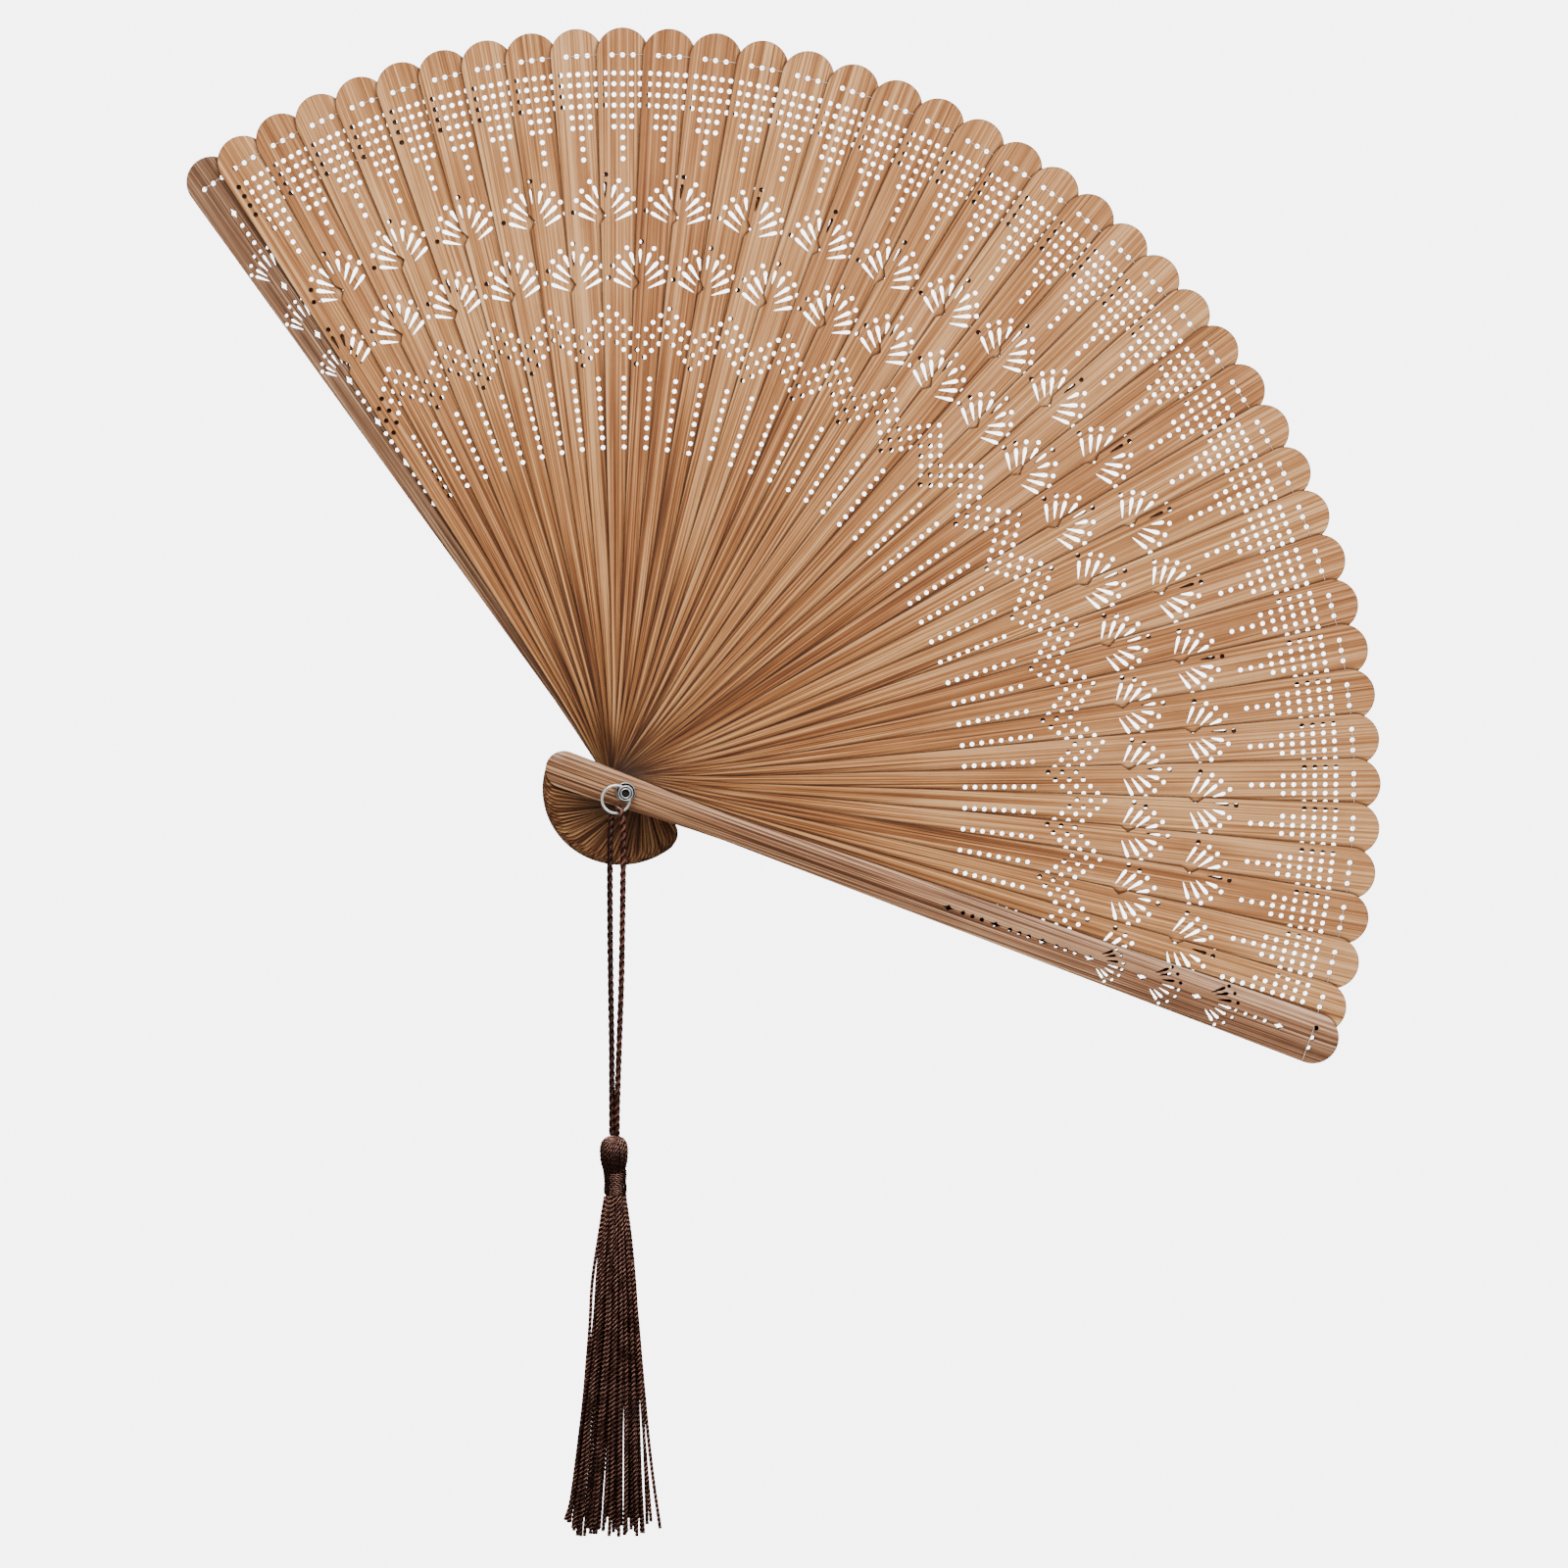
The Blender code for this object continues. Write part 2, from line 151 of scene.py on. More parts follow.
class Nodes:
    """A short way to build a material. An input is a number, a colour or a node's output."""

    def __init__(self, name):
        self.made = bpy.data.materials.new(name)
        self.made.use_nodes = True
        self.tree = self.made.node_tree
        self.shader = self.tree.nodes["Principled BSDF"]

    def put(self, socket, value):
        if isinstance(value, bpy.types.NodeSocket):
            self.tree.links.new(value, socket)
        else:
            socket.default_value = (*value, 1.0) if isinstance(value, tuple) else value

    def add(self, kind, inputs, **settings):
        node = self.tree.nodes.new(kind)
        for key, value in settings.items():
            setattr(node, key, value)
        for key, value in inputs.items():
            self.put(node.inputs[key], value)
        return node

    def math(self, operation, first, second, clamp=False):
        inputs = {0: first, 1: second}
        return self.add("ShaderNodeMath", inputs, operation=operation, use_clamp=clamp).outputs[0]

    def times(self, first, second):
        return self.math("MULTIPLY", first, second)

    def plus(self, first, second, clamp=False):
        return self.math("ADD", first, second, clamp)

    def remap(self, value, low, high, to_low=0.0, to_high=1.0):
        inputs = {"Value": value, "From Min": low, "From Max": high, "To Min": to_low, "To Max": to_high}
        return self.add("ShaderNodeMapRange", inputs, clamp=True).outputs["Result"]

    def mix(self, share, first, second, blend="MIX"):
        inputs = {"Factor": share, 6: first, 7: second}
        return self.add("ShaderNodeMix", inputs, data_type="RGBA", blend_type=blend).outputs[2]

    def stained(self, share, colour, stain):
        return self.mix(share, colour, self.mix(1.0, colour, stain, "MULTIPLY"))

    def attribute(self, name):
        return self.add("ShaderNodeAttribute", {}, attribute_name=name).outputs["Fac"]

    def grain(self):
        """The two ways of the grain map, across or round and along, in millimetres."""
        place = self.add("ShaderNodeUVMap", {}, uv_map="grain").outputs["UV"]
        parts = self.add("ShaderNodeSeparateXYZ", {"Vector": place})
        return parts.outputs["X"], parts.outputs["Y"]

    def vector(self, x, y, z=0.0):
        return self.add("ShaderNodeCombineXYZ", {"X": x, "Y": y, "Z": z}).outputs["Vector"]

    def noise(self, vector, detail, roughness):
        inputs = {"Vector": vector, "Scale": 1.0, "Detail": detail, "Roughness": roughness}
        return self.add("ShaderNodeTexNoise", inputs).outputs["Fac"]

    def grain_noise(self, across, along, layer, detail, roughness):
        """Noise over the grain map, with its own scale each way. Each layer is another noise."""
        x, y = self.grain()
        place = self.vector(self.times(x, across), self.times(y, along), layer)
        return self.noise(place, detail, roughness)

    def bump(self, height, strength, distance):
        inputs = {"Height": height, "Strength": strength, "Distance": distance}
        return self.add("ShaderNodeBump", inputs).outputs["Normal"]

    def shade(self, distance, samples, closed, open_air):
        """1 where other surfaces lie close round the point, falling to 0 in the open."""
        sky = self.add("ShaderNodeAmbientOcclusion", {"Distance": distance}, samples=samples)
        return self.remap(sky.outputs["AO"], closed, open_air, 1.0, 0.0)

    def surface(self, **inputs):
        for key, value in inputs.items():
            self.put(self.shader.inputs[key.replace("_", " ")], value)
        return self.made


# ---- camera, floor and light

CAMERA_AZIMUTH = -1.88
CAMERA_ELEVATION = 5.68
CAMERA_DISTANCE = 1.256
CAMERA_LENS = 114.5
SENSOR_WIDTH = 36.0
AIM_ACROSS = 0.0399
AIM_UP = 0.0005
FLOOR = -0.200
FLOOR_RADIUS = 2.3
FLOOR_BEND = 0.9
WALL_HEIGHT = 3.2
LIGHTS_AIM = (0.04, 0.0, 0.03)


def add_camera():
    """The camera looks at a point AIM_ACROSS to the right of the rivet and AIM_UP above it."""
    turn, lift = math.radians(CAMERA_AZIMUTH), math.radians(CAMERA_ELEVATION)
    back = Vector((math.sin(turn) * math.cos(lift), -math.cos(turn) * math.cos(lift), math.sin(lift)))
    right = Vector((math.cos(turn), math.sin(turn), 0.0))
    camera = add_to_scene("camera", bpy.data.cameras.new("camera"))
    camera.data.lens = CAMERA_LENS
    camera.data.sensor_width = SENSOR_WIDTH
    camera.data.clip_start = 0.05
    camera.data.clip_end = 50.0
    camera.location = right * AIM_ACROSS + back.cross(right) * AIM_UP + back * CAMERA_DISTANCE
    camera.rotation_euler = (QUARTER_TURN - lift, 0.0, turn)
    bpy.context.scene.camera = camera


def stage_finish():
    """A white sweep, bright where the camera sees it, soft as a light, and dark to mirrors, as
    a studio is outside its lamps."""
    nodes = Nodes("sweep_white")
    nodes.surface(Base_Color=(0.55, 0.55, 0.55), Roughness=0.9)
    dark = nodes.add("ShaderNodeBsdfDiffuse", {"Color": (0.035, 0.035, 0.037)})
    glow = nodes.add("ShaderNodeEmission", {"Color": (1.0, 1.0, 1.0), "Strength": 6.0})
    ray = nodes.add("ShaderNodeLightPath", {}).outputs
    shader = nodes.shader
    for kind, other in (("Is Glossy Ray", dark), ("Is Camera Ray", glow)):
        inputs = {0: ray[kind], 1: shader.outputs[0], 2: other.outputs[0]}
        shader = nodes.add("ShaderNodeMixShader", inputs)
    nodes.put(nodes.tree.nodes["Material Output"].inputs["Surface"], shader.outputs[0])
    return nodes.made


def add_stage():
    """A round sweep: a flat floor that curves up into a wall all round."""
    profile = [(radius, 0.0, 0.0) for radius in (0.0, 0.4, 1.2, FLOOR_RADIUS)]
    for i in range(1, 9):
        turn = QUARTER_TURN * i / 8
        out, up = FLOOR_BEND * math.sin(turn), FLOOR_BEND * (1 - math.cos(turn))
        profile.append((FLOOR_RADIUS + out, up, 0.0))
    profile.append((FLOOR_RADIUS + FLOOR_BEND, WALL_HEIGHT, 0.0))
    points, faces, _ = turned(profile, 96, (0.0, 0.0, FLOOR), upright=True)
    mesh = bpy.data.meshes.new("sweep")
    mesh.from_pydata(points, [], faces)
    mesh.shade_smooth()
    add_to_scene("sweep", mesh, stage_finish())


def add_light(name, place, size, power, colour=(1.0, 1.0, 1.0)):
    light = bpy.data.lights.new(name, "AREA")
    light.shape = "DISK"
    light.size = size
    light.energy = power
    light.color = colour
    made = add_to_scene(name, light)
    made.location = place
    made.rotation_euler = (Vector(LIGHTS_AIM) - Vector(place)).to_track_quat("-Z", "Y").to_euler()
    made.visible_camera = False


def add_lights():
    add_light("key", (-0.45, -1.15, 1.15), 0.9, 24.0, (1.0, 0.985, 0.96))
    add_light("fill", (0.95, -1.15, 0.70), 0.8, 10.0, (0.97, 0.985, 1.0))
    add_light("top", (0.25, -0.45, 1.55), 0.9, 14.0)
    add_light("back", (-0.5, 1.5, 0.7), 0.9, 13.0)
    world = bpy.data.worlds.new("studio")
    world.use_nodes = True
    background = world.node_tree.nodes["Background"]
    background.inputs["Color"].default_value = (1.0, 1.0, 1.0, 1.0)
    background.inputs["Strength"].default_value = 0.42
    bpy.context.scene.world = world


# ---- wood

BURNT = (0.040, 0.015, 0.006)
SHADED = (0.09, 0.045, 0.028)
PORE_TINT = (0.45, 0.34, 0.26)
BOUNCE_SHADE_TINT = (0.78, 0.72, 0.64)


def wood(name, stops, reds, roughness, coat, lift, fineness, contrast):
    """Straight-grained wood with burnt edges, its own tone on each blade, and painted shade where one
    blade lies close over another. Towards the rivet it is painted darker and warmer, with stronger
    streaks, for shade and bounce light between the close-packed blades. stops are the streaks'
    colours from dark to light, lift moves them all, fineness packs the grain closer, and contrast
    spreads the streaks."""
    nodes = Nodes(name)
    bands = nodes.grain_noise(0.42 * fineness, 0.006, 1.0, 2.0, 0.5)
    streaks = nodes.grain_noise(1.25 * fineness, 0.008, 5.0, 2.0, 0.6)
    lines = nodes.grain_noise(2.5 * fineness, 0.014, 9.0, 2.0, 0.6)
    pores = nodes.grain_noise(10.0, 0.33, 13.0, 1.0, 0.5)
    clouds = nodes.grain_noise(0.10, 0.045, 17.0, 2.0, 0.5)
    painted_bounce_shade = nodes.attribute("painted_bounce_shade")
    value = nodes.plus(nodes.times(streaks, 0.38), nodes.times(lines, 0.44))
    value = nodes.plus(value, nodes.times(bands, 0.18))
    value = nodes.remap(value, 0.385, 0.615, -0.5, 0.5)
    # Painted shade and bounce light towards the rivet: stronger streaks and a darker value.
    value = nodes.times(value, nodes.remap(painted_bounce_shade, 0.0, 1.0, 0.85 * contrast, 1.60 * contrast))
    value = nodes.plus(value, nodes.remap(painted_bounce_shade, 0.0, 1.0, 0.66, 0.51))
    # Each blade's own lightness; on the front guard it also carries painted light and shade across it.
    value = nodes.plus(value, nodes.attribute("lift"))
    value = nodes.plus(value, nodes.remap(clouds, 0.3, 0.7, lift - 0.08, lift + 0.08), clamp=True)
    ramp = nodes.add("ShaderNodeValToRGB", {"Fac": value})
    marks = ramp.color_ramp.elements
    marks[0].color = (*stops[0], 1.0)
    marks[1].color = (*stops[-1], 1.0)
    for i, colour in enumerate(stops[1:-1]):
        marks.new((i + 1) / (len(stops) - 1)).color = (*colour, 1.0)
    colour = ramp.outputs["Color"]
    colour = nodes.stained(nodes.attribute("tone"), colour, reds)
    colour = nodes.stained(nodes.remap(pores, 0.62, 0.74, 0.0, 0.45), colour, PORE_TINT)
    # Painted warm bounce light and shade towards the rivet.
    colour = nodes.stained(painted_bounce_shade, colour, BOUNCE_SHADE_TINT)
    burn = nodes.attribute("burn")
    colour = nodes.mix(nodes.math("POWER", burn, 1.2), colour, BURNT)
    colour = nodes.stained(nodes.shade(1.0 * MM, 5, 0.56, 0.85), colour, SHADED)
    rough = nodes.plus(nodes.remap(lines, 0.3, 0.7, 0.08, -0.06), roughness)
    height = nodes.plus(nodes.times(lines, 0.8), nodes.times(pores, -0.6))
    return nodes.surface(
        Base_Color=colour,
        Roughness=nodes.plus(rough, nodes.times(burn, 0.15)),
        Specular_IOR_Level=0.35,
        Coat_Weight=coat,
        Coat_Roughness=0.24,
        Normal=nodes.bump(height, 0.4, 0.08 * MM),
    )


# ---- flat shapes of the blades

PIVOT_TO_TIP = 0.1895
WAIST_AT = 0.027
BORE_RADIUS = 0.0016
LEAF = {"tip": 0.0066, "waist": 0.0032, "tail_at": 0.0208, "tail": 0.0043}
GUARD = {"tip": 0.0065, "waist": 0.00325, "tail_at": 0.0209, "tail": 0.0046}
BACK_GUARD = {**GUARD, "tail_at": 0.0205, "tail": 0.0041}
LEAF_THICKNESS = 0.00055
GUARD_EDGE = 0.00095
GUARD_THICKNESS = 0.0020
FRONT_GUARD_STRETCH = 1.0032
TIP_STEPS, SWELL_STEPS, TAIL_STEPS = 16, 5, 12
LEAF_SPACING = 0.0024
GUARD_SPACING = 0.0013


def round_centres(shape):
    """How far along a blade the centres of its round tip and tail lie."""
    return PIVOT_TO_TIP - shape["tip"], shape["tail"] - shape["tail_at"]


def eased(share):
    return share * share * (3 - 2 * share)


def half_width(shape, along):
    """The blade's half width at a distance along it."""
    tip_centre, tail_centre = round_centres(shape)
    if along > tip_centre:
        return math.sqrt(max(0.0, shape["tip"] ** 2 - (along - tip_centre) ** 2))
    if along < tail_centre:
        return math.sqrt(max(0.0, shape["tail"] ** 2 - (along - tail_centre) ** 2))
    if along >= WAIST_AT:
        share = (along - WAIST_AT) / (tip_centre - WAIST_AT)
        return shape["waist"] + (shape["tip"] - shape["waist"]) * share
    share = (along - WAIST_AT) / (tail_centre - WAIST_AT)
    return shape["waist"] + (shape["tail"] - shape["waist"]) * eased(share)


def blade_side(shape):
    """One side of a blade, from the tip to the tail, as (across, along) points."""
    tip_centre, tail_centre = round_centres(shape)
    side = []
    for i in range(TIP_STEPS + 1):
        turn = QUARTER_TURN * (1 - i / TIP_STEPS)
        side.append((shape["tip"] * math.cos(turn), tip_centre + shape["tip"] * math.sin(turn)))
    for i in range(SWELL_STEPS):
        along = WAIST_AT + (tail_centre - WAIST_AT) * i / SWELL_STEPS
        side.append((half_width(shape, along), along))
    for i in range(TAIL_STEPS + 1):
        turn = -QUARTER_TURN * i / TAIL_STEPS
        side.append((shape["tail"] * math.cos(turn), tail_centre + shape["tail"] * math.sin(turn)))
    side[0] = (0.0, side[0][1])
    side[-1] = (0.0, side[-1][1])
    return side


def between(start, end, share):
    return (start[0] + (end[0] - start[0]) * share, start[1] + (end[1] - start[1]) * share)


def divided(side, notch, spacing):
    """The side cut into steps, with a V notch, (apex across, apex along, rise above, drop
    below), let into its edge."""
    points = [side[0]]
    for start, end in zip(side, side[1:]):
        marks = []
        if notch and end[1] < notch[1] < start[1]:
            apex_across, apex, above, below = notch
            top, bottom = (
                between(start, end, (along - start[1]) / (end[1] - start[1]))
                for along in (apex + above, apex - below)
            )
            marks = [top, (apex_across, apex), bottom]
        stops = [start, *marks, end]
        for i, (first, last) in enumerate(zip(stops, stops[1:])):
            steps = 1 if marks and i in (1, 2) else max(1, round(math.dist(first, last) / spacing))
            points += [between(first, last, step / steps) for step in range(1, steps + 1)]
    return points


def blade_loop(shape, spacing, right_notch=None, left_notch=None):
    right, left = (divided(blade_side(shape), notch, spacing) for notch in (right_notch, left_notch))
    return right + [(-across, along) for across, along in reversed(left[1:-1])]


def dot(across, along, diameter, sides=12):
    turns = [FULL_TURN * (i + 0.5) / sides for i in range(sides)]
    radius = diameter / 2
    return [(across + radius * math.cos(turn), along - radius * math.sin(turn)) for turn in turns]


PETAL_STEPS = 6
PETAL_FIRST, PETAL_LAST = 0.16, 0.97
PETAL_ROOT = 0.22
PETAL_HALF = 0.44


def petal(across, along, degrees, inner, outer, width):
    """A teardrop, round at its outer end. Its axis leaves (across, along) at degrees from the
    blade's direction, towards +across."""
    turn = math.radians(degrees)
    axis, side = (math.sin(turn), math.cos(turn)), (math.cos(turn), -math.sin(turn))
    length = outer - inner
    wide_at = 1.0 - 0.5 * width / length
    half = []
    for i in range(PETAL_STEPS):
        share = PETAL_FIRST + (PETAL_LAST - PETAL_FIRST) * i / (PETAL_STEPS - 1)
        if share < wide_at:
            breadth = PETAL_ROOT + (1 - PETAL_ROOT) * (share / wide_at) ** 1.15
        else:
            breadth = math.sqrt(max(0.0, 1 - ((share - wide_at) / (1 - wide_at)) ** 2))
        half.append((inner + length * share, PETAL_HALF * width * breadth))
    other_half = [(out, -off) for out, off in reversed(half)]
    return [
        (across + axis[0] * out + side[0] * off, along + axis[1] * out + side[1] * off)
        for out, off in [*half, (outer, 0.0), *other_half, (inner, 0.0)]
    ]


def diamond(along, tall, wide):
    """A diamond whose four sides bow in a little."""
    corners = ((0, tall / 2), (wide / 2, 0), (0, -tall / 2), (-wide / 2, 0))
    outline = []
    for i in range(4):
        for share in (0.0, 0.33, 0.67):
            x, z = between(corners[i], corners[(i + 1) % 4], share)
            pull = 1 - 0.20 * math.sin(math.pi * share)
            outline.append((x * pull, along + z * pull))
    return outline


# The leaf's piercings, from the tip and across from the centre line: the palmettes' places in
# metres, and what lies on them in millimetres. A palmette's halves are on neighbouring leaves.
DOT = 1.21 * MM
SMALL_DOT = 1.15 * MM
UPPER_PALMETTE = (48.3 * MM, 4.42 * MM)
LOWER_PALMETTE = (65.0 * MM, 4.20 * MM)
# Each petal's inner end, outer end and width.
PALMETTE_PETALS = (
    ((-0.05, 6.10), (0.00, 10.05), 1.00),
    ((1.50, 5.95), (2.42, 9.25), 1.18),
    ((1.50, 3.55), (4.52, 7.10), 1.26),
    ((2.08, 2.15), (5.90, 5.08), 1.26),
    ((2.35, 0.35), (6.62, 2.58), 1.12),
)
PALMETTE_DOTS = ((0.15, 11.85), (3.33, 10.35), (5.45, 8.10), (6.95, 5.85), (7.90, 2.90))
NOTCH_APEX = (0.17 * MM, 1.66 * MM)
NOTCH_RISE = 2.1 * MM
NOTCH_DROP = 1.9 * MM
TIP_HOLES_AT = 6.77
BLOCK_AT = 11.28
BLOCK_COLUMN, BLOCK_ROW = 2.19, 2.655
BLOCK_ROWS = (5, 5, 5, 5, 3, 3, 1, 1, 1)
ZIGZAG_AT = 69.45
ZIGZAG_ACROSS = (3.67, 1.78, 0.0, -1.71, -3.67)
ZIGZAG_STEP, ZIGZAG_ROW = 1.80, 3.51
RAY_AT = 87.27
RAY_STEP = 2.46


def down_from_tip(distance):
    """The place along a blade at a distance in millimetres from its tip."""
    return PIVOT_TO_TIP - distance * MM


def half_palmette(from_tip, across, side):
    """The half of a palmette on one leaf. side is where its centre lies, and its petals and
    dots are given from there, inward and along."""
    along = PIVOT_TO_TIP - from_tip
    holes = []
    for (in_across, in_along), (out_across, out_along), width in PALMETTE_PETALS:
        reach = (out_across - in_across, out_along - in_along)
        start = (side * (across - in_across * MM), along + in_along * MM)
        turn = -side * math.degrees(math.atan2(*reach))
        holes.append(petal(*start, turn, 0.0, math.hypot(*reach) * MM, width * MM))
    for out_across, out_along in PALMETTE_DOTS:
        holes.append(dot(side * (across - out_across * MM), along + out_along * MM, SMALL_DOT))
    return holes


def leaf_holes(side):
    """A leaf's holes. side is +1 where its upper half palmette is at +across."""
    holes = [dot(x * 2.64 * MM, down_from_tip(TIP_HOLES_AT), DOT) for x in (-1, 0, 1)]
    for row, columns in enumerate(BLOCK_ROWS):
        for column in range(columns):
            across = (column - (columns - 1) / 2) * BLOCK_COLUMN * MM
            holes.append(dot(across, down_from_tip(BLOCK_AT + BLOCK_ROW * row), DOT))
    holes += half_palmette(*UPPER_PALMETTE, side)
    holes += half_palmette(*LOWER_PALMETTE, -side)
    for column, across in enumerate(ZIGZAG_ACROSS):
        for row in range(3):
            from_tip = ZIGZAG_AT + ZIGZAG_STEP * column + ZIGZAG_ROW * row
            holes.append(dot(side * across * MM, down_from_tip(from_tip), SMALL_DOT))
    holes += [dot(0.0, down_from_tip(RAY_AT + RAY_STEP * row), SMALL_DOT) for row in range(8)]
    holes.append(dot(0.0, 0.0, 2 * BORE_RADIUS, 24))
    return holes


# The guard's piercings, in millimetres from the tip. A petal has its angle and its inner and
# outer ends from the palmette's centre, and a dot its angle and distance.
GUARD_DIAMONDS = (15.8, 37.8, 52.5, 66.5, 79.1, 91.6, 104.1)
GUARD_DOTS = (19.5, 22.1, 24.7, 70.3, 72.8, 75.3, 82.7, 85.2, 87.7, 95.2, 97.7, 100.2)
GUARD_PALMETTES = ((37.8, 1.0), (52.5, 0.94), (66.5, 0.83))
GUARD_PETALS = ((0, 5.30, 9.35), (12.5, 5.20, 8.80), (25.6, 4.60, 8.05), (37.0, 3.70, 7.55))
GUARD_PETAL_DOTS = ((0, 10.50), (11.0, 10.45), (24.4, 9.61), (37.5, 8.55))


def guard_holes():
    holes = [dot(x * 2.68 * MM, down_from_tip(6.8), 1.25 * MM) for x in (-1, 0, 1)]
    holes += [diamond(down_from_tip(place), 3.0 * MM, 1.5 * MM) for place in GUARD_DIAMONDS]
    holes += [dot(0.0, down_from_tip(place), 1.1 * MM) for place in GUARD_DOTS]
    for place, scale in GUARD_PALMETTES:
        along, size = down_from_tip(place), scale * MM
        for degrees, inner, outer in GUARD_PETALS:
            width = (0.92 if degrees < 20 else 0.98) * size
            for side in (1, -1) if degrees else (1,):
                holes.append(petal(0.0, along, side * degrees, inner * size, outer * size, width))
        for degrees, out in GUARD_PETAL_DOTS:
            turn, reach = math.radians(degrees), out * scale * MM
            for side in (1, -1) if degrees else (1,):
                centre = (side * reach * math.sin(turn), along + reach * math.cos(turn))
                holes.append(dot(*centre, 0.90 * MM, 10))
    holes.append(dot(0.0, 0.0, 2 * BORE_RADIUS, 24))
    return holes


# ---- pierced plates

EDGE_SINK = 0.03 * MM
LEAF_RIMS = (0.10 * MM, 0.28 * MM)
GUARD_RIMS = (0.07 * MM, 0.12 * MM)
# Where along a blade the painted shade and bounce light towards the rivet begin, and over what length
# they come in full.
BOUNCE_SHADE_FROM, BOUNCE_SHADE_OVER = 0.125, 0.09


def signed_area(loop):
    return sum(x0 * z1 - x1 * z0 for (x0, z0), (x1, z1) in zip(loop, loop[1:] + loop[:1])) / 2


def offset_loop(loop, distance):
    """The loop moved to its left by distance, corner by corner."""
    moved = []
    for i in range(len(loop)):
        (x0, z0), (x1, z1), (x2, z2) = loop[i - 1], loop[i], loop[(i + 1) % len(loop)]
        first = Vector((x1 - x0, z1 - z0)).normalized()
        second = Vector((x2 - x1, z2 - z1)).normalized()
        normal = Vector((-first.y - second.y, first.x + second.x))
        if normal.length < 1e-6:
            normal = Vector((-first.y, first.x))
        normal.normalize()
        reach = distance / max(0.55, normal.dot(Vector((-first.y, first.x))))
        moved.append((x1 + normal.x * reach, z1 + normal.y * reach))
    return moved


def inside(point, loop):
    x, z = point
    odd = False
    for i in range(len(loop)):
        (x0, z0), (x1, z1) = loop[i - 1], loop[i]
        if (z0 > z) != (z1 > z) and x < x0 + (x1 - x0) * (z - z0) / (z1 - z0):
            odd = not odd
    return odd


def plate(outline, holes, rims, inner_points, levels):
    """A pierced plate as (points, faces, burn). levels gives a point's front and back y. Each
    hole and the outline has an edge loop, sunk a little, and a rim loop where its burn ends."""
    hole_rim, outer_rim = rims
    loops = [(outline, 1.0), (offset_loop(outline, -outer_rim), 0.0)]
    for hole in holes:
        hole = hole if signed_area(hole) < 0 else hole[::-1]
        loops += [(hole, 1.0), (offset_loop(hole, hole_rim), 0.0)]
    flat, edges, walls, burn, owner = [], [], [], [], []
    for number, (loop, heat) in enumerate(loops):
        start, size = len(flat), len(loop)
        around = [(start + i, start + (i + 1) % size) for i in range(size)]
        flat += loop
        edges += around
        walls += around if heat else []
        burn += [heat] * size
        owner += [number] * size
    flat += inner_points
    burn += [0.0] * len(inner_points)
    owner += [-1] * len(inner_points)
    corners = [Vector(point) for point in flat]
    made, _, triangles, origins = geometry.delaunay_2d_cdt(corners, edges, [], 0, 1e-9)[:4]
    source = [which[0] if which else None for which in origins]
    if None in source or len(made) != len(flat):
        raise ValueError("the plate's loops cross or touch")
    count = len(flat)
    faces = []
    for triangle in triangles:
        a, b, c = (source[i] for i in triangle)
        if burn[a] and owner[a] == owner[b] == owner[c]:
            centre = [(flat[a][i] + flat[b][i] + flat[c][i]) / 3 for i in (0, 1)]
            is_outline = owner[a] == 0
            if inside(centre, loops[owner[a]][0]) != is_outline:
                continue
        if signed_area([flat[a], flat[b], flat[c]]) < 0:
            b, c = c, b
        faces += [(a, b, c), (count + a, count + c, count + b)]
    faces += [(a, a + count, b + count, b) for a, b in walls]
    points = []
    for which, inwards in ((0, 1), (1, -1)):
        for (x, z), heat in zip(flat, burn):
            points.append((x, levels(x, z)[which] + inwards * EDGE_SINK * heat, z))
    return points, faces, burn + burn


def plate_mesh(name, made):
    """The plate's mesh, with its burn and, towards the rivet, painted shade and warm bounce light."""
    points, faces, burn = made
    mesh = solid_mesh(name, points, faces)
    set_values(mesh, "burn", burn)
    along = np.array([point[2] for point in points])
    set_values(mesh, "painted_bounce_shade", np.clip((BOUNCE_SHADE_FROM - along) / BOUNCE_SHADE_OVER, 0.0, 1.0))
    return mesh


def cut_from_own_piece(mesh, shift, tone, lift):
    """Gives a blade its own part of the grain, and its own tone and lightness."""
    points = mesh_points(mesh)
    map_grain(mesh, points[:, [0, 2]] / MM + np.array([shift, shift * 0.37]))
    set_values(mesh, "tone", np.full(len(points), tone))
    set_values(mesh, "lift", np.full(len(points), lift))


# ---- leaves and guards

BACK_GUARD_ANGLE = 124.3
LEAF_COUNT = 40


def joint_travel(name):
    """How far a joint turns from rest to its limit, in degrees."""
    joints = frame["record"]["behaviour"]["joints"]
    return next(joint["range_deg"][1] for joint in joints if joint["name"] == name)


def notch_at(palmette):
    from_tip, across = palmette
    apex_across, apex_along = NOTCH_APEX
    return (across - apex_across, PIVOT_TO_TIP - from_tip + apex_along, NOTCH_RISE, NOTCH_DROP)


def leaf_meshes():
    """The two leaf patterns, mirror images, which take turns round the fan."""
    half = LEAF_THICKNESS / 2
    made = []
    for side in (1, -1):
        notches = [notch_at(UPPER_PALMETTE), notch_at(LOWER_PALMETTE)][::side]
        outline = blade_loop(LEAF, LEAF_SPACING, *notches)
        parts = plate(outline, leaf_holes(side), LEAF_RIMS, [], lambda x, z: (-half, half))
        made.append(plate_mesh("leaf_pattern", parts))
        made[-1].shade_flat()
    return made


def add_leaves(finish, tie, tie_finish):
    patterns = leaf_meshes()
    rng = random.Random(7)
    for number in range(1, LEAF_COUNT + 1):
        node = f"leaf_{number:02d}"
        mesh = patterns[(number + 1) % 2].copy()
        cut_from_own_piece(mesh, 23.7 * number, rng.random(), rng.uniform(-0.11, 0.11))
        angle = BACK_GUARD_ANGLE - joint_travel(node + "_turn") + 0.001
        low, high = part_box(node)
        y = (low[1] + high[1]) / 2
        add_piece(node + "_pierced", mesh, finish, node, node, angle, y)
        front = y - LEAF_THICKNESS / 2
        add_piece(node + "_tie", tie.copy(), tie_finish, node, None, angle, front)


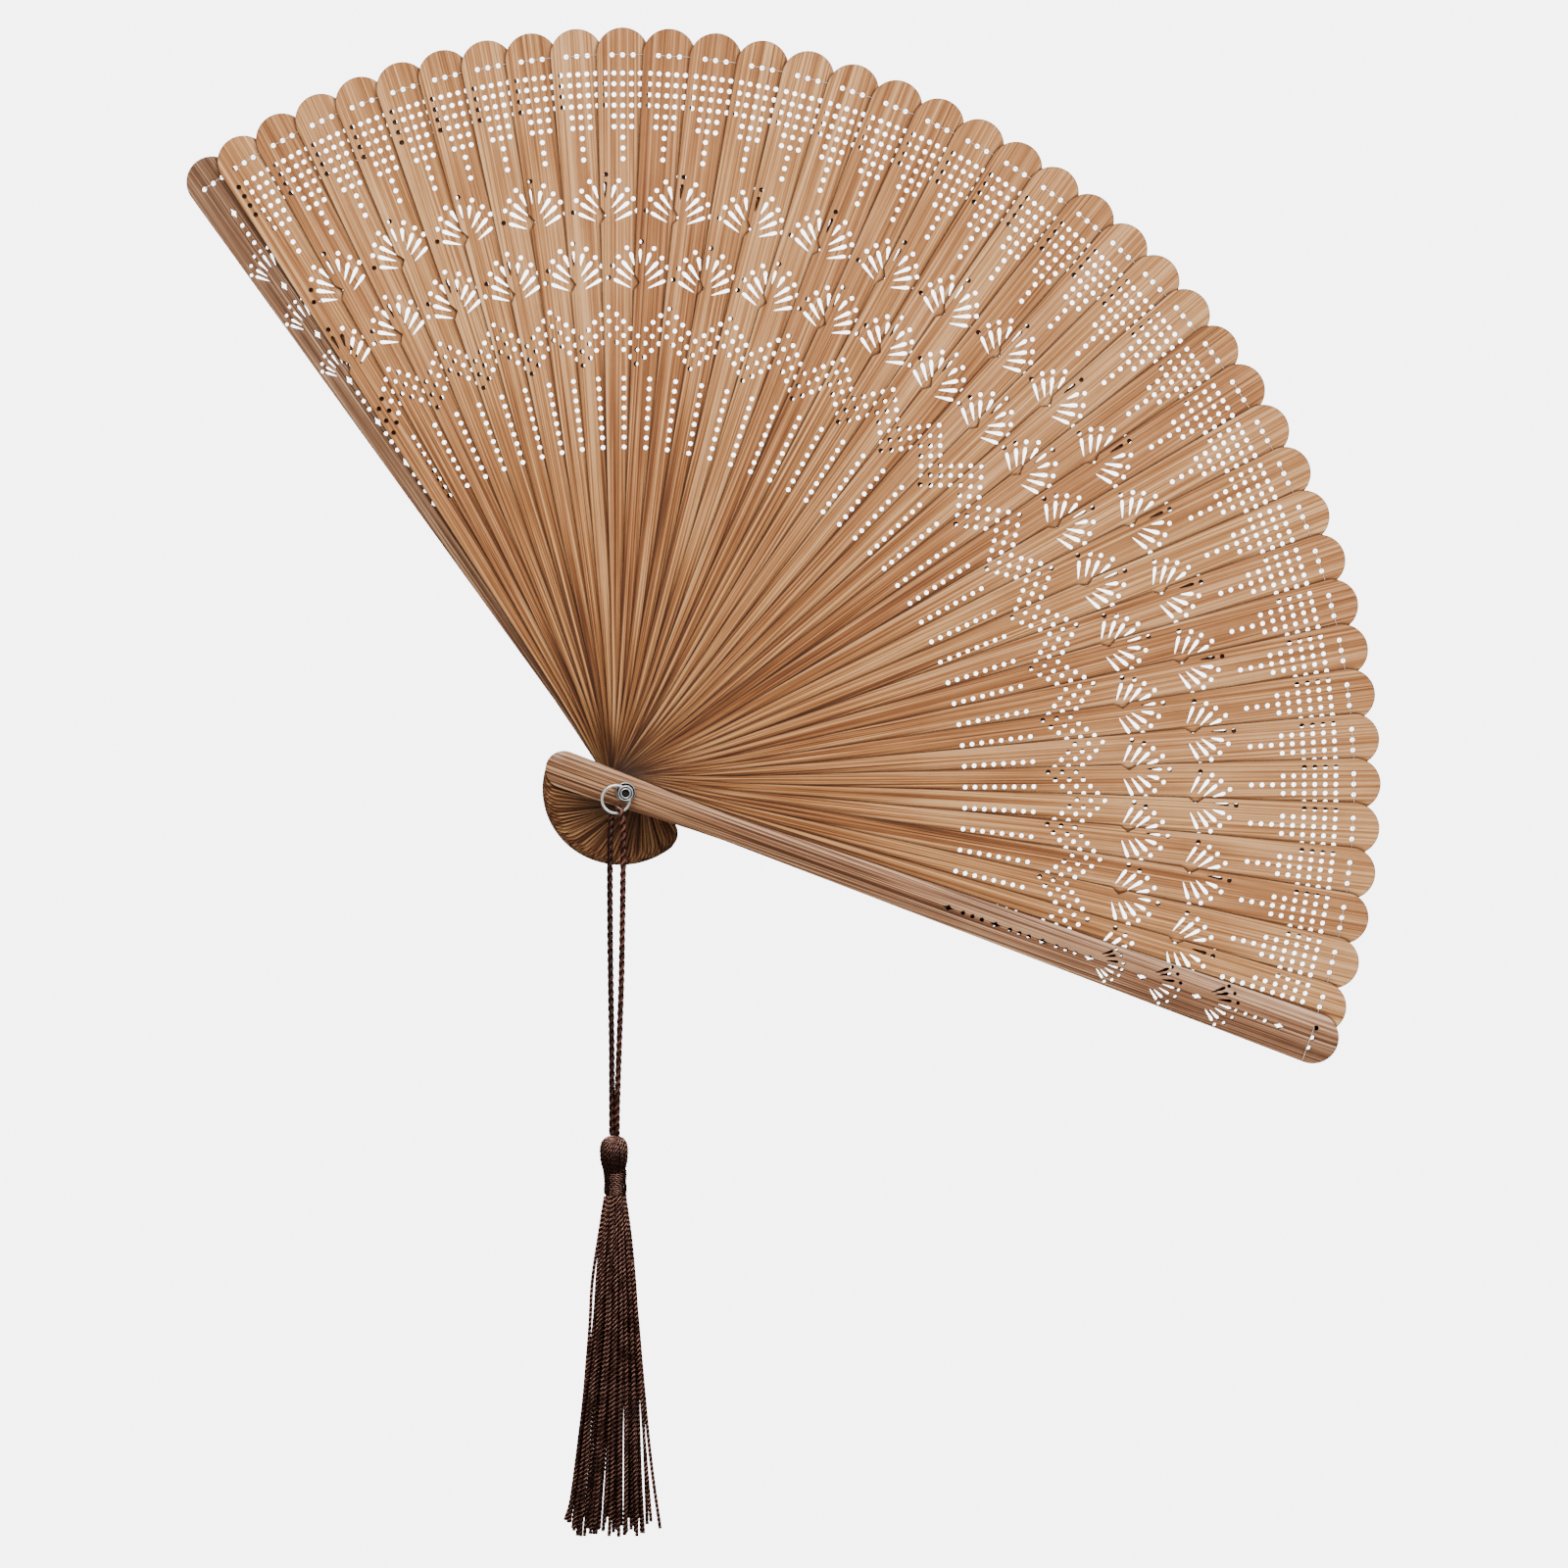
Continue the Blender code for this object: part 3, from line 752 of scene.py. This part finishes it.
def guard_levels(shape, side):
    """The guard's cambered outer face over its flat inner one. side is -1 in front."""
    tip_centre, tail_centre = round_centres(shape)
    hub_reach = 0.014

    def levels(x, z):
        if z > tip_centre:
            share = math.hypot(x, z - tip_centre) / shape["tip"]
        elif z < tail_centre:
            share = math.hypot(x, z - tail_centre) / shape["tail"]
        else:
            share = abs(x) / half_width(shape, z)
        flatness = 2.2 + 5.0 * eased(max(0.0, 1.0 - abs(z) / hub_reach))
        rise = GUARD_EDGE + (GUARD_THICKNESS - GUARD_EDGE) * (1 - min(share, 1.0) ** flatness)
        return (-rise, 0.0) if side < 0 else (0.0, rise)

    return levels


def guard_points(shape, holes):
    """Points over the guard's face, clear of its edge and holes, that carry the camber."""
    edge_gap, hole_gap, least_half = 0.00032, 0.00034, 0.0015
    centres = []
    for hole in holes:
        x, z = (sum(point[i] for point in hole) / len(hole) for i in (0, 1))
        centres.append((x, z, max(math.dist((x, z), point) for point in hole)))
    points = []
    z = -shape["tail_at"] + 0.0012
    while z < PIVOT_TO_TIP - 0.001:
        half = half_width(shape, z)
        for share in (-0.9, -0.72, -0.5, -0.25, 0.0, 0.25, 0.5, 0.72, 0.9):
            x = share * half
            if half <= least_half or half * (1 - abs(share)) < edge_gap:
                continue
            if all(math.dist((x, z), (cx, cz)) > reach + hole_gap for cx, cz, reach in centres):
                points.append((x, z))
        z += GUARD_SPACING
    return points


def paint_shade_on_lower_side(mesh):
    """Painted light and shade: the front guard's wood is lighter along its upper side and darker
    along its lower side, most of all towards its tip.
    """
    across, _, along = mesh_points(mesh).T
    lower = np.clip((across + 2.9 * MM) / (2.2 * MM), 0.0, 1.0)
    outer = np.clip((along - 0.09) / 0.06, 0.0, 1.0)
    set_values(mesh, "lift", 0.03 - lower * (0.02 + 0.36 * outer))


def add_guards(finish, tie, tie_finish):
    holes = guard_holes()
    for node, body, shape, side, cut, stretch in (
        ("back_guard", "back", BACK_GUARD, 1, (900.0, 1.0, -0.24), 1.0),
        ("front_guard", "front", GUARD, -1, (957.0, 0.1, 0.0), FRONT_GUARD_STRETCH),
    ):
        outline = blade_loop(shape, GUARD_SPACING)
        inner = guard_points(shape, holes)
        parts = plate(outline, holes, GUARD_RIMS, inner, guard_levels(shape, side))
        mesh = plate_mesh(node, parts)
        smooth_between_edges(mesh, 24.0)
        cut_from_own_piece(mesh, *cut)
        # Painted light and shade across the front guard.
        if side < 0:
            paint_shade_on_lower_side(mesh)
        low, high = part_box(node)
        angle, y, front = BACK_GUARD_ANGLE, low[1], low[1]
        if side < 0:
            angle, y, front = angle - joint_travel("fold"), high[1], high[1] - GUARD_THICKNESS
        add_piece(node + "_pierced", mesh, finish, body, node, angle, y, stretch)
        add_piece(node + "_tie", tie.copy(), tie_finish, body, None, angle, front)


# ---- threads


def distances(path):
    """How far along the path each of its points lies."""
    return np.concatenate([[0.0], np.cumsum(np.linalg.norm(np.diff(path, axis=0), axis=1))])


def smooth_route(points, steps):
    """A smooth curve through the points, with so many steps between each two."""
    points = [Vector(point) for point in points]
    ends = [2 * points[0] - points[1], *points, 2 * points[-1] - points[-2]]
    curve = []
    for p0, p1, p2, p3 in zip(ends, ends[1:], ends[2:], ends[3:]):
        linear = p2 - p0
        square = 2 * p0 - 5 * p1 + 4 * p2 - p3
        cube = 3 * (p1 - p2) + p3 - p0
        for step in range(steps):
            t = step / steps
            curve.append((2 * p1 + t * linear + t * t * square + t * t * t * cube) / 2)
    curve.append(points[-1])
    return curve


def even_route(points, spacing):
    """The same line, with its points a fixed distance apart, and its length."""
    points = np.array([tuple(point) for point in points])
    lengths = distances(points)
    count = max(2, round(lengths[-1] / spacing))
    marks = np.linspace(0.0, lengths[-1], count + 1)
    return np.stack([np.interp(marks, lengths, points[:, i]) for i in range(3)], 1), lengths[-1]


def along_route(route, places, values):
    """Values read along a route, from those at some places between 0 and 1."""
    return np.interp(np.linspace(0.0, 1.0, len(route)), places, values)


def tube(path, section, twist_length=math.inf, phase=0.0, swell=1.0, painted_glint_fade=1.0):
    """The points, faces, crests, grain map and points to a ring of a closed tube. section is
    its (radius, crest) round a turn, which twists once in each twist_length. swell is its
    thickness along the path, and the last argument the strength of the painted glint on its crests along
    it."""
    path = np.array(path, dtype=float)
    lengths = distances(path)
    tangents = np.gradient(path, axis=0)
    tangents /= np.linalg.norm(tangents, axis=1)[:, None]
    normals = np.empty_like(path)
    last = np.array([0.0, 1.0, 0.0]) if abs(tangents[0][1]) < 0.9 else np.array([1.0, 0.0, 0.0])
    for i, tangent in enumerate(tangents):
        last = last - tangent * np.dot(last, tangent)
        last /= np.linalg.norm(last)
        normals[i] = last
    sides = np.cross(tangents, normals)
    count, rings = len(section), len(path)
    turns = FULL_TURN * np.arange(count) / count
    angle = turns[None, :] + (FULL_TURN * lengths / twist_length + phase)[:, None]
    radius, crest = (
        np.array(values)[None, :] * np.broadcast_to(change, rings)[:, None]
        for values, change in zip(zip(*section), (swell, painted_glint_fade))
    )
    points = (
        path[:, None, :]
        + (radius * np.cos(angle))[..., None] * normals[:, None, :]
        + (radius * np.sin(angle))[..., None] * sides[:, None, :]
    ).reshape(-1, 3)
    row = np.arange(rings - 1)[:, None] * count
    i = np.arange(count)[None, :]
    j = (i + 1) % count
    quads = np.stack([row + i, row + j, row + count + j, row + count + i], -1).reshape(-1, 4)
    around = np.tile(turns * 0.3 / MM * radius[0].mean(), rings)
    along = np.repeat(lengths / MM, count)
    return points, quads, crest.ravel(), np.stack([around, along], 1), count


def two_ply(diameter, sides, waist=0.62):
    """The section of two strands side by side. waist is its narrow way against the diameter."""
    narrow = waist * diameter / 2
    offset = diameter / 2 - narrow
    section = []
    for i in range(sides):
        turn = FULL_TURN * i / sides
        side = offset * abs(math.sin(turn))
        radius = offset * abs(math.cos(turn)) + math.sqrt(max(0.0, narrow * narrow - side * side))
        section.append((radius, abs(math.cos(turn))))
    return section


def join_tubes(name, tubes):
    """One mesh of several closed tubes, with their grain map and crest attribute."""
    points, crest, grain, faces, caps, shift = [], [], [], [], [], 0
    for number, (place, quads, high, uv, count) in enumerate(tubes):
        points.append(place)
        crest.append(high)
        grain.append(uv + np.array([number * 7.3, number * 31.7]))
        faces += (quads + shift).tolist()
        last = shift + len(place) - count
        caps.append([shift + i for i in reversed(range(count))])
        caps.append([last + i for i in range(count)])
        shift += len(place)
    mesh = bpy.data.meshes.new(name)
    mesh.from_pydata(np.concatenate(points).tolist(), [], faces + caps)
    set_values(mesh, "crest", np.concatenate(crest))
    map_grain(mesh, np.concatenate(grain))
    mesh.shade_smooth()
    return mesh


# The tie thread's run in millimetres across a blade and behind its front face: between its
# own holes, and then rising towards the next blade.
TIE_HALF_THICKNESS = 0.12 * MM
TIE_LEVEL_RUN = ((-2.75, 0.34), (-2.35, 0.10), (-1.95, -0.035), (-0.7, -0.05), (0.0, -0.02), (0.7, -0.05))
TIE_RISING_RUN = ((1.3, -0.05), (2.0, -0.05), (2.64, -0.02), (3.3, -0.05), (4.6, -0.05), (6.2, -0.05))


def tie_mesh():
    """The flat thread on one blade's front face, from its tip holes towards the next blade."""
    along = down_from_tip(TIP_HOLES_AT)
    path = [(x * MM, y * MM, along) for x, y in TIE_LEVEL_RUN]
    path += [(x * MM, y * MM, along + (x - 1.3) * 0.02 * MM) for x, y in TIE_RISING_RUN]
    flatness = [1 - 0.55 * abs(math.cos(FULL_TURN * i / 6)) for i in range(6)]
    return join_tubes("tie", [tube(path, [(TIE_HALF_THICKNESS * flat, 1.0) for flat in flatness])])


def thread_finish(name, base, glint_and_fibre_colour, roughness, first_crest):
    """Silky thread, dark in its grooves, with a painted glint colour on its crests from first_crest
    upwards. Where the whole thread is marked as crest, as on the tie, that colour is its paler fibres.
    """
    nodes = Nodes(name)
    around, along = nodes.grain()
    slant = nodes.plus(nodes.times(around, 3.0), nodes.times(along, 2.6))
    fibres = nodes.noise(nodes.vector(slant, nodes.times(along, 0.5)), 2.0, 0.6)
    patches = nodes.grain_noise(0.15, 0.22, 4.0, 2.0, 0.5)
    # Painted glint: the crests take the glint colour, broken up by fibres and patches.
    crest = nodes.remap(nodes.attribute("crest"), first_crest, 1.0)
    glint = nodes.times(crest, nodes.remap(fibres, 0.35, 0.60, 0.65, 1.0))
    glint = nodes.times(glint, nodes.remap(patches, 0.38, 0.56, 0.15, 1.0))
    return nodes.surface(
        Base_Color=nodes.mix(glint, base, glint_and_fibre_colour),
        Roughness=nodes.remap(fibres, 0.3, 0.7, roughness + 0.12, roughness - 0.06),
        Specular_IOR_Level=1.0,
        Specular_Tint=(1.0, 0.58, 0.46),
        Normal=nodes.bump(fibres, 0.5, 0.05 * MM),
    )


# ---- the cord

CORD_DIAMETER = 0.00115
CORD_BULGE = 1.46
CORD_TWIST = 0.0041
CORD_STEP = 0.00045
RING_PLANE = -0.01721
# The route of the doubled cord from the ring's plane, in millimetres.
CORD_ROUTE = (
    (-3.7, 0.2, -86.0), (-3.7, 0.45, -76.7), (-3.7, 0.75, -62.5), (-3.9, 0.9, -46.4),
    (-4.0, 0.95, -31.3), (-4.0, 0.95, -20.2), (-3.9, 0.95, -12.6), (-3.7, 0.95, -8.1),
    (-3.4, 0.93, -5.5), (-2.9, 0.65, -4.1), (-2.2, 0.0, -3.5), (-1.4, -0.65, -4.1),
    (-0.9, -0.93, -5.5), (-0.7, -0.95, -8.1), (-0.6, -0.95, -12.6), (-0.7, -0.95, -20.2),
    (-0.9, -0.95, -31.3), (-1.2, -0.9, -46.4), (-1.8, -0.75, -62.5), (-2.3, -0.45, -76.7),
    (-2.5, -0.2, -86.0),
)


def add_cord(finish):
    """The doubled cord over the ring: down behind it and down in front, its painted glints dimmer on
    the strand behind, for painted shade.
    """
    points = [(x * MM, y * MM, z * MM) for x, y, z in CORD_ROUTE]
    route, length = even_route(smooth_route(points, 12), CORD_STEP)
    route = route + np.array([0.0, RING_PLANE, 0.0])
    # Painted glints, dimmer on the strand behind for painted shade.
    painted_glint_fade = along_route(route, (0.0, 0.45, 0.52, 1.0), (0.88, 0.84, 1.0, 0.96))
    section = two_ply(CORD_DIAMETER * CORD_BULGE, 14, 0.78)
    name = "hanging_cord_twisted"
    mesh = join_tubes(name, [tube(route, section, CORD_TWIST, painted_glint_fade=painted_glint_fade)])
    cord = add_piece(name, mesh, finish, "cord", "hanging_cord")


# ---- the tassel

TASSEL_X = -0.0032
HEAD_TOP = -0.0859
HEAD_BOTTOM = -0.0953
BINDING_BOTTOM = -0.1010
SKIRT_TOP = -0.1000
SKIRT_BOTTOM = -0.1870
THREAD = 0.00090
HEAD_THREAD = 0.00078
BINDING_THREAD = 0.00060
THREAD_TWIST = 0.0023
# The head's radius, and how far that is below its top, in millimetres.
HEAD_PROFILE = (
    (0.6, 0.0), (1.8, 0.4), (2.7, 0.9), (3.3, 1.8), (3.6, 3.1),
    (3.6, 4.5), (3.4, 6.5), (3.0, 8.0), (2.7, 9.5), (2.6, 10.5),
)
# The skirt's height, its half width and half depth there, and how far it leans across.
SKIRT_OVALS = (
    (SKIRT_TOP, 0.0022, 0.0022, 0.0004),
    (-0.1030, 0.0025, 0.0024, 0.0004),
    (-0.1118, 0.0037, 0.0034, 0.0003),
    (-0.1225, 0.0047, 0.0042, 0.0002),
    (-0.1330, 0.0054, 0.0048, 0.0001),
    (-0.1438, 0.0064, 0.0054, -0.0003),
    (-0.1580, 0.0076, 0.0060, -0.0010),
    (-0.1720, 0.0086, 0.0064, -0.0015),
    (SKIRT_BOTTOM, 0.0098, 0.0068, -0.0022),
)
# How many threads each layer of the skirt has, and how far out it lies.
SKIRT_LAYERS = ((25, 0.97), (17, 0.76), (11, 0.50), (6, 0.24))
# The stray threads' routes in millimetres: across, forward and up.
SKIRT_STRAYS = (
    (
        (-5.4, 0.4, -101.5), (-6.7, 0.8, -109.5), (-8.7, 1.2, -122.5), (-9.4, 1.4, -134.0),
        (-10.2, 1.4, -144.0), (-10.9, 1.2, -152.0), (-11.8, 1.0, -160.0), (-14.2, 1.0, -178.0),
        (-15.8, 1.0, -183.8),
    ),
    (
        (1.2, 2.0, -118.0), (2.4, 2.2, -133.0), (3.1, 2.2, -146.0), (3.8, 2.2, -158.0),
        (4.8, 2.0, -171.5), (5.8, 1.8, -184.2),
    ),
    (
        (1.2, 0.8, -118.0), (2.6, 0.9, -133.0), (3.5, 1.0, -144.0), (4.9, 1.0, -160.0),
        (6.3, 1.0, -173.0), (8.1, 1.0, -186.2),
    ),
)


def in_tassel(turn, wide, deep, z, aside=0.0, behind=0.0):
    """The point at a turn round an oval about the tassel's axis."""
    return (TASSEL_X + aside + wide * math.cos(turn), RING_PLANE + behind + deep * math.sin(turn), z)


def add_threads(name, tubes, finish, node=None):
    add_piece(name, join_tubes(name, tubes), finish, "tassel", node)


def add_core(name, profile, finish):
    """A closed turned body about the tassel's axis, the dark inside behind the threads."""
    sides = 28
    rows = [(radius, z, 0.0) for radius, z in profile]
    points, faces, marks = turned(rows, sides, (TASSEL_X, RING_PLANE, 0.0), upright=True)
    faces += [tuple(range(sides)), tuple(range(len(points) - sides, len(points)))]
    mesh = solid_mesh(name, points, faces)
    set_values(mesh, "crest", marks)
    x, y, z = mesh_points(mesh).T
    map_grain(mesh, np.stack([x + y, z], 1) / MM)
    mesh.shade_smooth()
    add_piece(name, mesh, finish, "tassel")


def add_tassel_head(finish):
    """The head's threads run from its top over its round sides into the binding."""
    rng = random.Random(11)
    count, flattening = 34, 0.94
    tubes = []
    for number in range(count):
        turn = FULL_TURN * (number + rng.uniform(-0.2, 0.2)) / count
        swirl = rng.uniform(-0.10, 0.10)
        line = []
        for i, (radius, drop) in enumerate(HEAD_PROFILE):
            angle = turn + swirl * i / len(HEAD_PROFILE)
            out = radius * MM - HEAD_THREAD / 2 + rng.uniform(-0.00006, 0.00006)
            z = HEAD_TOP - drop * MM - HEAD_THREAD / 2
            line.append(in_tassel(angle, out, out * flattening, z))
        route, _ = even_route(smooth_route(line, 5), 0.00033)
        # Painted glints, brightest over the head's shoulders.
        painted_glint_fade = along_route(route, (0.0, 0.35, 0.55, 1.0), (1.0, 1.0, 0.88, 0.84))
        section = two_ply(HEAD_THREAD * 1.08, 8)
        tubes.append(tube(route, section, 0.0022, rng.uniform(0, 6), painted_glint_fade=painted_glint_fade))
    add_threads("tassel_head_threads", tubes, finish, "tassel_head")
    profile = [
        (max(0.0002, radius * MM - HEAD_THREAD * 0.9), HEAD_TOP - drop * MM - HEAD_THREAD * 0.75)
        for radius, drop in HEAD_PROFILE
    ]
    add_core("tassel_head_core", profile, finish)


def add_tassel_binding(finish):
    """One thread wound round the neck, with painted glints brightest where its turns face the light."""
    rng = random.Random(5)
    radius, pitch, points_to_a_turn = 0.00262, 0.00050, 28
    top, bottom = HEAD_BOTTOM + 0.0001, BINDING_BOTTOM + 0.0002
    turns = (top - bottom) / pitch
    line = []
    for i in range(int(turns * points_to_a_turn)):
        share = i / (turns * points_to_a_turn)
        turn = FULL_TURN * turns * share
        out = radius * (1.0 + 0.03 * math.sin(3.1 * share * math.pi) + rng.uniform(-0.006, 0.006))
        tilt = 0.00016 * math.cos(turn - 0.7)
        line.append(in_tassel(turn, out, out, top - (top - bottom) * share + tilt, 0.0003))
    route, _ = even_route(smooth_route(line, 2), 0.00036)
    turn = np.arctan2(route[:, 1] - RING_PLANE, route[:, 0] - TASSEL_X)
    # Painted glints, brightest down the side that faces the light.
    painted_glint_fade = 0.84 + 0.16 * np.maximum(0.0, np.cos(turn + math.radians(72.0))) ** 6
    tubes = [tube(route, two_ply(BINDING_THREAD, 8, 0.7), 0.0021, painted_glint_fade=painted_glint_fade)]
    add_threads("tassel_binding_turns", tubes, finish, "tassel_binding")
    top, middle, bottom = HEAD_BOTTOM + 0.0004, HEAD_BOTTOM - 0.002, BINDING_BOTTOM - 0.0004
    profile = [(0.0022, top), (0.0023, middle), (0.0022, bottom)]
    add_core("tassel_binding_core", profile, finish)


def add_tassel_skirt(finish):
    """The skirt's threads hang in layers, each with its own drift, wave and length."""
    rng = random.Random(23)
    drift = 0.0006
    outer, inner = [], []
    for layer, (count, reach) in enumerate(SKIRT_LAYERS):
        for number in range(count):
            turn = FULL_TURN * (number + 0.5 * layer + rng.uniform(-0.32, 0.32)) / count
            spread = reach + rng.uniform(-0.05, 0.05)
            drift_x, drift_y = rng.uniform(-1, 1) * drift, rng.uniform(-1, 1) * drift
            end = SKIRT_BOTTOM + rng.uniform(-0.0010, 0.0036)
            wave, wave_turn = rng.uniform(0.0001, 0.0004), rng.uniform(0, 6.28)
            line = []
            for z, wide, deep, lean in SKIRT_OVALS:
                fall = (SKIRT_TOP - z) / (SKIRT_TOP - SKIRT_BOTTOM)
                z = max(z, end) if z > SKIRT_BOTTOM + 0.001 else end
                sway = wave * math.sin(wave_turn + 7.0 * fall) * fall
                aside = lean + (drift_x + sway) * fall
                line.append(in_tassel(turn, wide * spread, deep * spread, z, aside, drift_y * fall))
            route, _ = even_route(smooth_route(line, 6), 0.00038)
            swell = along_route(route, (0.0, 1.0), (0.86, 1.12))
            # Painted glints, a little dimmer towards the threads' ends.
            painted_glint_fade = along_route(route, (0.0, 1.0), (1.0, 0.95))
            section = two_ply(THREAD, 8, 0.82)
            made = tube(route, section, THREAD_TWIST, rng.uniform(0, 6.28), swell, painted_glint_fade)
            (outer if layer < 2 else inner).append(made)
    for stray in SKIRT_STRAYS:
        line = [(x * MM, RING_PLANE - y * MM, z * MM) for x, y, z in stray]
        route, _ = even_route(smooth_route(line, 6), 0.00040)
        outer.append(tube(route, two_ply(THREAD * 1.05, 8, 0.85), 0.0024, line[-1][0] * 900))
    add_threads("tassel_skirt_outer", outer, finish, "tassel_skirt")
    add_threads("tassel_skirt_inner", inner, finish)


# ---- metal

RING_RADIUS = 0.00345
RING_WIRE = 0.00036
RING_CENTRE = (-0.00245, RING_PLANE, -0.0016)
# The colour of the painted shade and dark reflections on steel.
PAINTED_STEEL_SHADE = (0.020, 0.016, 0.013)


def steel(name, colour, roughness, scratch, metal):
    """Steel with fine marks and an uneven polish, with painted shade and dark reflections in its grooves
    and corners and where other surfaces lie close.
    """
    nodes = Nodes(name)
    cloud = nodes.grain_noise(0.9, 0.9, 0.0, 3.0, 0.6)
    marks = nodes.grain_noise(14.0, 1.4, 2.0, 2.0, 0.6)
    tint = nodes.mix(nodes.remap(cloud, 0.35, 0.7, 0.0, 0.25), colour, (0.52, 0.50, 0.47))
    # Painted shade where other surfaces lie close, and painted shade and dark reflections from the
    # piece's marks.
    painted_dark = nodes.math("MAXIMUM", nodes.shade(1.2 * MM, 6, 0.30, 0.70), nodes.attribute("painted_dark_marks"))
    return nodes.surface(
        Base_Color=nodes.mix(painted_dark, tint, PAINTED_STEEL_SHADE),
        Metallic=metal,
        Roughness=nodes.plus(nodes.remap(marks, 0.3, 0.7, -0.04, 0.10), roughness),
        Normal=nodes.bump(nodes.plus(marks, cloud), scratch, 0.02 * MM),
    )


def add_metal_piece(node, ending, mesh, finish):
    """A piece on the rivet, with its marks running round it."""
    smooth_between_edges(mesh, 50.0)
    x, y, z = mesh_points(mesh).T
    map_grain(mesh, np.stack([np.hypot(x, z), y + 0.3 * x], 1) / MM)
    add_piece(node + ending, mesh, finish, "rivet", node)


def add_rounded_copy(node, finish, width):
    """The CAD piece's own shape with its sharp edges rounded, in place of the CAD piece."""
    mesh = bpy.data.objects[node].data.copy()
    mesh.materials.clear()
    for layer in list(mesh.uv_layers):
        mesh.uv_layers.remove(layer)
    bm = bmesh.new()
    bm.from_mesh(mesh)
    bmesh.ops.remove_doubles(bm, verts=bm.verts, dist=1e-7)
    bmesh.ops.dissolve_limit(bm, angle_limit=math.radians(2.0), verts=bm.verts, edges=bm.edges)
    sharp = [edge for edge in bm.edges if edge.calc_face_angle(0.0) > math.radians(40.0)]
    bmesh.ops.bevel(
        bm, geom=sharp, offset=width, offset_type="OFFSET", segments=3, profile=0.5, affect="EDGES",
        clamp_overlap=True,
    )
    bmesh.ops.recalc_face_normals(bm, faces=bm.faces)
    bm.to_mesh(mesh)
    bm.free()
    add_metal_piece(node, "_rounded", mesh, finish)


def bead(radius, y, size, first, last, steps):
    """Part of a rounded rim. 0 degrees is outwards, 90 to the front and 180 inwards."""
    points = []
    for i in range(steps + 1):
        turn = math.radians(first + (last - first) * i / steps)
        points.append((radius + size * math.cos(turn), y - size * math.sin(turn), 0.0))
    return points


# The rivet's pin and its head, from the back to the front: radius, y, and how much painted shade and dark
# reflection each has.
PIN_PROFILE = [
    (0.0, 0.01656, 0.0),
    (0.0012, 0.01656, 0.0),
    (0.0013, 0.01646, 0.0),
    (0.0013, -0.01606, 0.6),
    (0.00178, -0.01606, 0.8),
    (0.0019, -0.01618, 0.6),
    (0.0019, -0.01700, 0.2),
    (0.0019, -0.01830, 0.5),
    *bead(0.00175, -0.01846, 0.00015, 0, 150, 8),
    (0.00160, -0.01840, 1.0),
    (0.00130, -0.01842, 0.75),
    *bead(0.00113, -0.01868, 0.00013, 30, 150, 6),
    (0.00098, -0.01850, 1.0),
    (0.00092, -0.01800, 1.0),
    (0.0, -0.01790, 0.9),
]
WASHER_PROFILE = [
    (0.0016, -0.01558, 1.0),
    (0.0023, -0.01558, 0.6),
    *bead(0.00235, -0.01582, 0.00010, -60, 150, 10),
    (0.00222, -0.01583, 1.0),
    (0.0016, -0.01583, 1.0),
    (0.0016, -0.01558, 1.0),
]


def turned_mesh(profile, sides, centre=(0.0, 0.0, 0.0)):
    """A turned piece, finer than the CAD piece it replaces, with painted shade and dark reflections from
    its profile's marks.
    """
    points, faces, painted_dark_marks = turned(profile, sides, centre)
    mesh = solid_mesh("turned", points, faces)
    set_values(mesh, "painted_dark_marks", painted_dark_marks)
    return mesh


def add_ring(finish):
    """The ring of round wire, with painted dark reflections on its inner and outer sides, where they
    would mirror the dark studio.
    """
    sides = 16
    profile = []
    for i in range(sides + 1):
        roll = FULL_TURN * (i % sides) / sides
        # Painted dark reflection on the wire's inner and outer sides.
        dark = 0.9 * max(0.0, abs(math.cos(roll)) - 0.72) / 0.28
        profile.append((RING_RADIUS + RING_WIRE * math.cos(roll), RING_WIRE * math.sin(roll), dark))
    mesh = turned_mesh(profile, 120, RING_CENTRE)
    add_metal_piece("hanging_ring", "_round", mesh, finish)


# ---- the whole fan

add_camera()
# The cord's crest colour is a painted glint.
add_cord(thread_finish("cord_brown", (0.014, 0.005, 0.0035), (0.34, 0.100, 0.070), 0.32, 0.80))
add_stage()
add_lights()

leaf_wood = wood(
    "leaf_wood",
    ((0.155, 0.052, 0.015), (0.360, 0.138, 0.041), (0.550, 0.245, 0.084), (0.850, 0.475, 0.208)),
    (0.90, 0.85, 0.86),
    roughness=0.50,
    coat=0.05,
    lift=0.0,
    fineness=1.0,
    contrast=1.1,
)
guard_wood = wood(
    "guard_wood",
    ((0.115, 0.044, 0.019), (0.280, 0.120, 0.055), (0.430, 0.214, 0.108), (0.720, 0.440, 0.260)),
    (0.74, 0.78, 0.80),
    roughness=0.42,
    coat=0.20,
    lift=-0.04,
    fineness=1.35,
    contrast=1.5,
)
tie_thread = thread_finish("tie_thread", (0.70, 0.50, 0.36), (0.92, 0.74, 0.60), 0.45, 0.0)
tie = tie_mesh()
add_leaves(leaf_wood, tie, tie_thread)
add_guards(guard_wood, tie, tie_thread)

# Both steels are only partly metal, so their near-white colour also shows as diffuse white: a painted
# reflection of the bright lamps.
rivet_steel = steel("rivet_steel", (0.97, 0.96, 0.95), 0.20, 0.15, 0.65)
ring_steel = steel("ring_steel", (1.0, 1.0, 1.0), 0.22, 0.10, 0.50)
for node, profile in (("rivet_pin", PIN_PROFILE), ("front_washer", WASHER_PROFILE)):
    add_metal_piece(node, "_turned", turned_mesh(profile, 96), rivet_steel)
for node in ("rivet_cap", "back_washer"):
    add_rounded_copy(node, rivet_steel, 0.00007)
add_ring(ring_steel)

# The silk's crest colour is a painted glint.
tassel_silk = thread_finish("tassel_silk", (0.013, 0.0046, 0.0033), (1.0, 0.480, 0.360), 0.22, 0.84)
add_tassel_head(tassel_silk)
add_tassel_binding(tassel_silk)
add_tassel_skirt(tassel_silk)
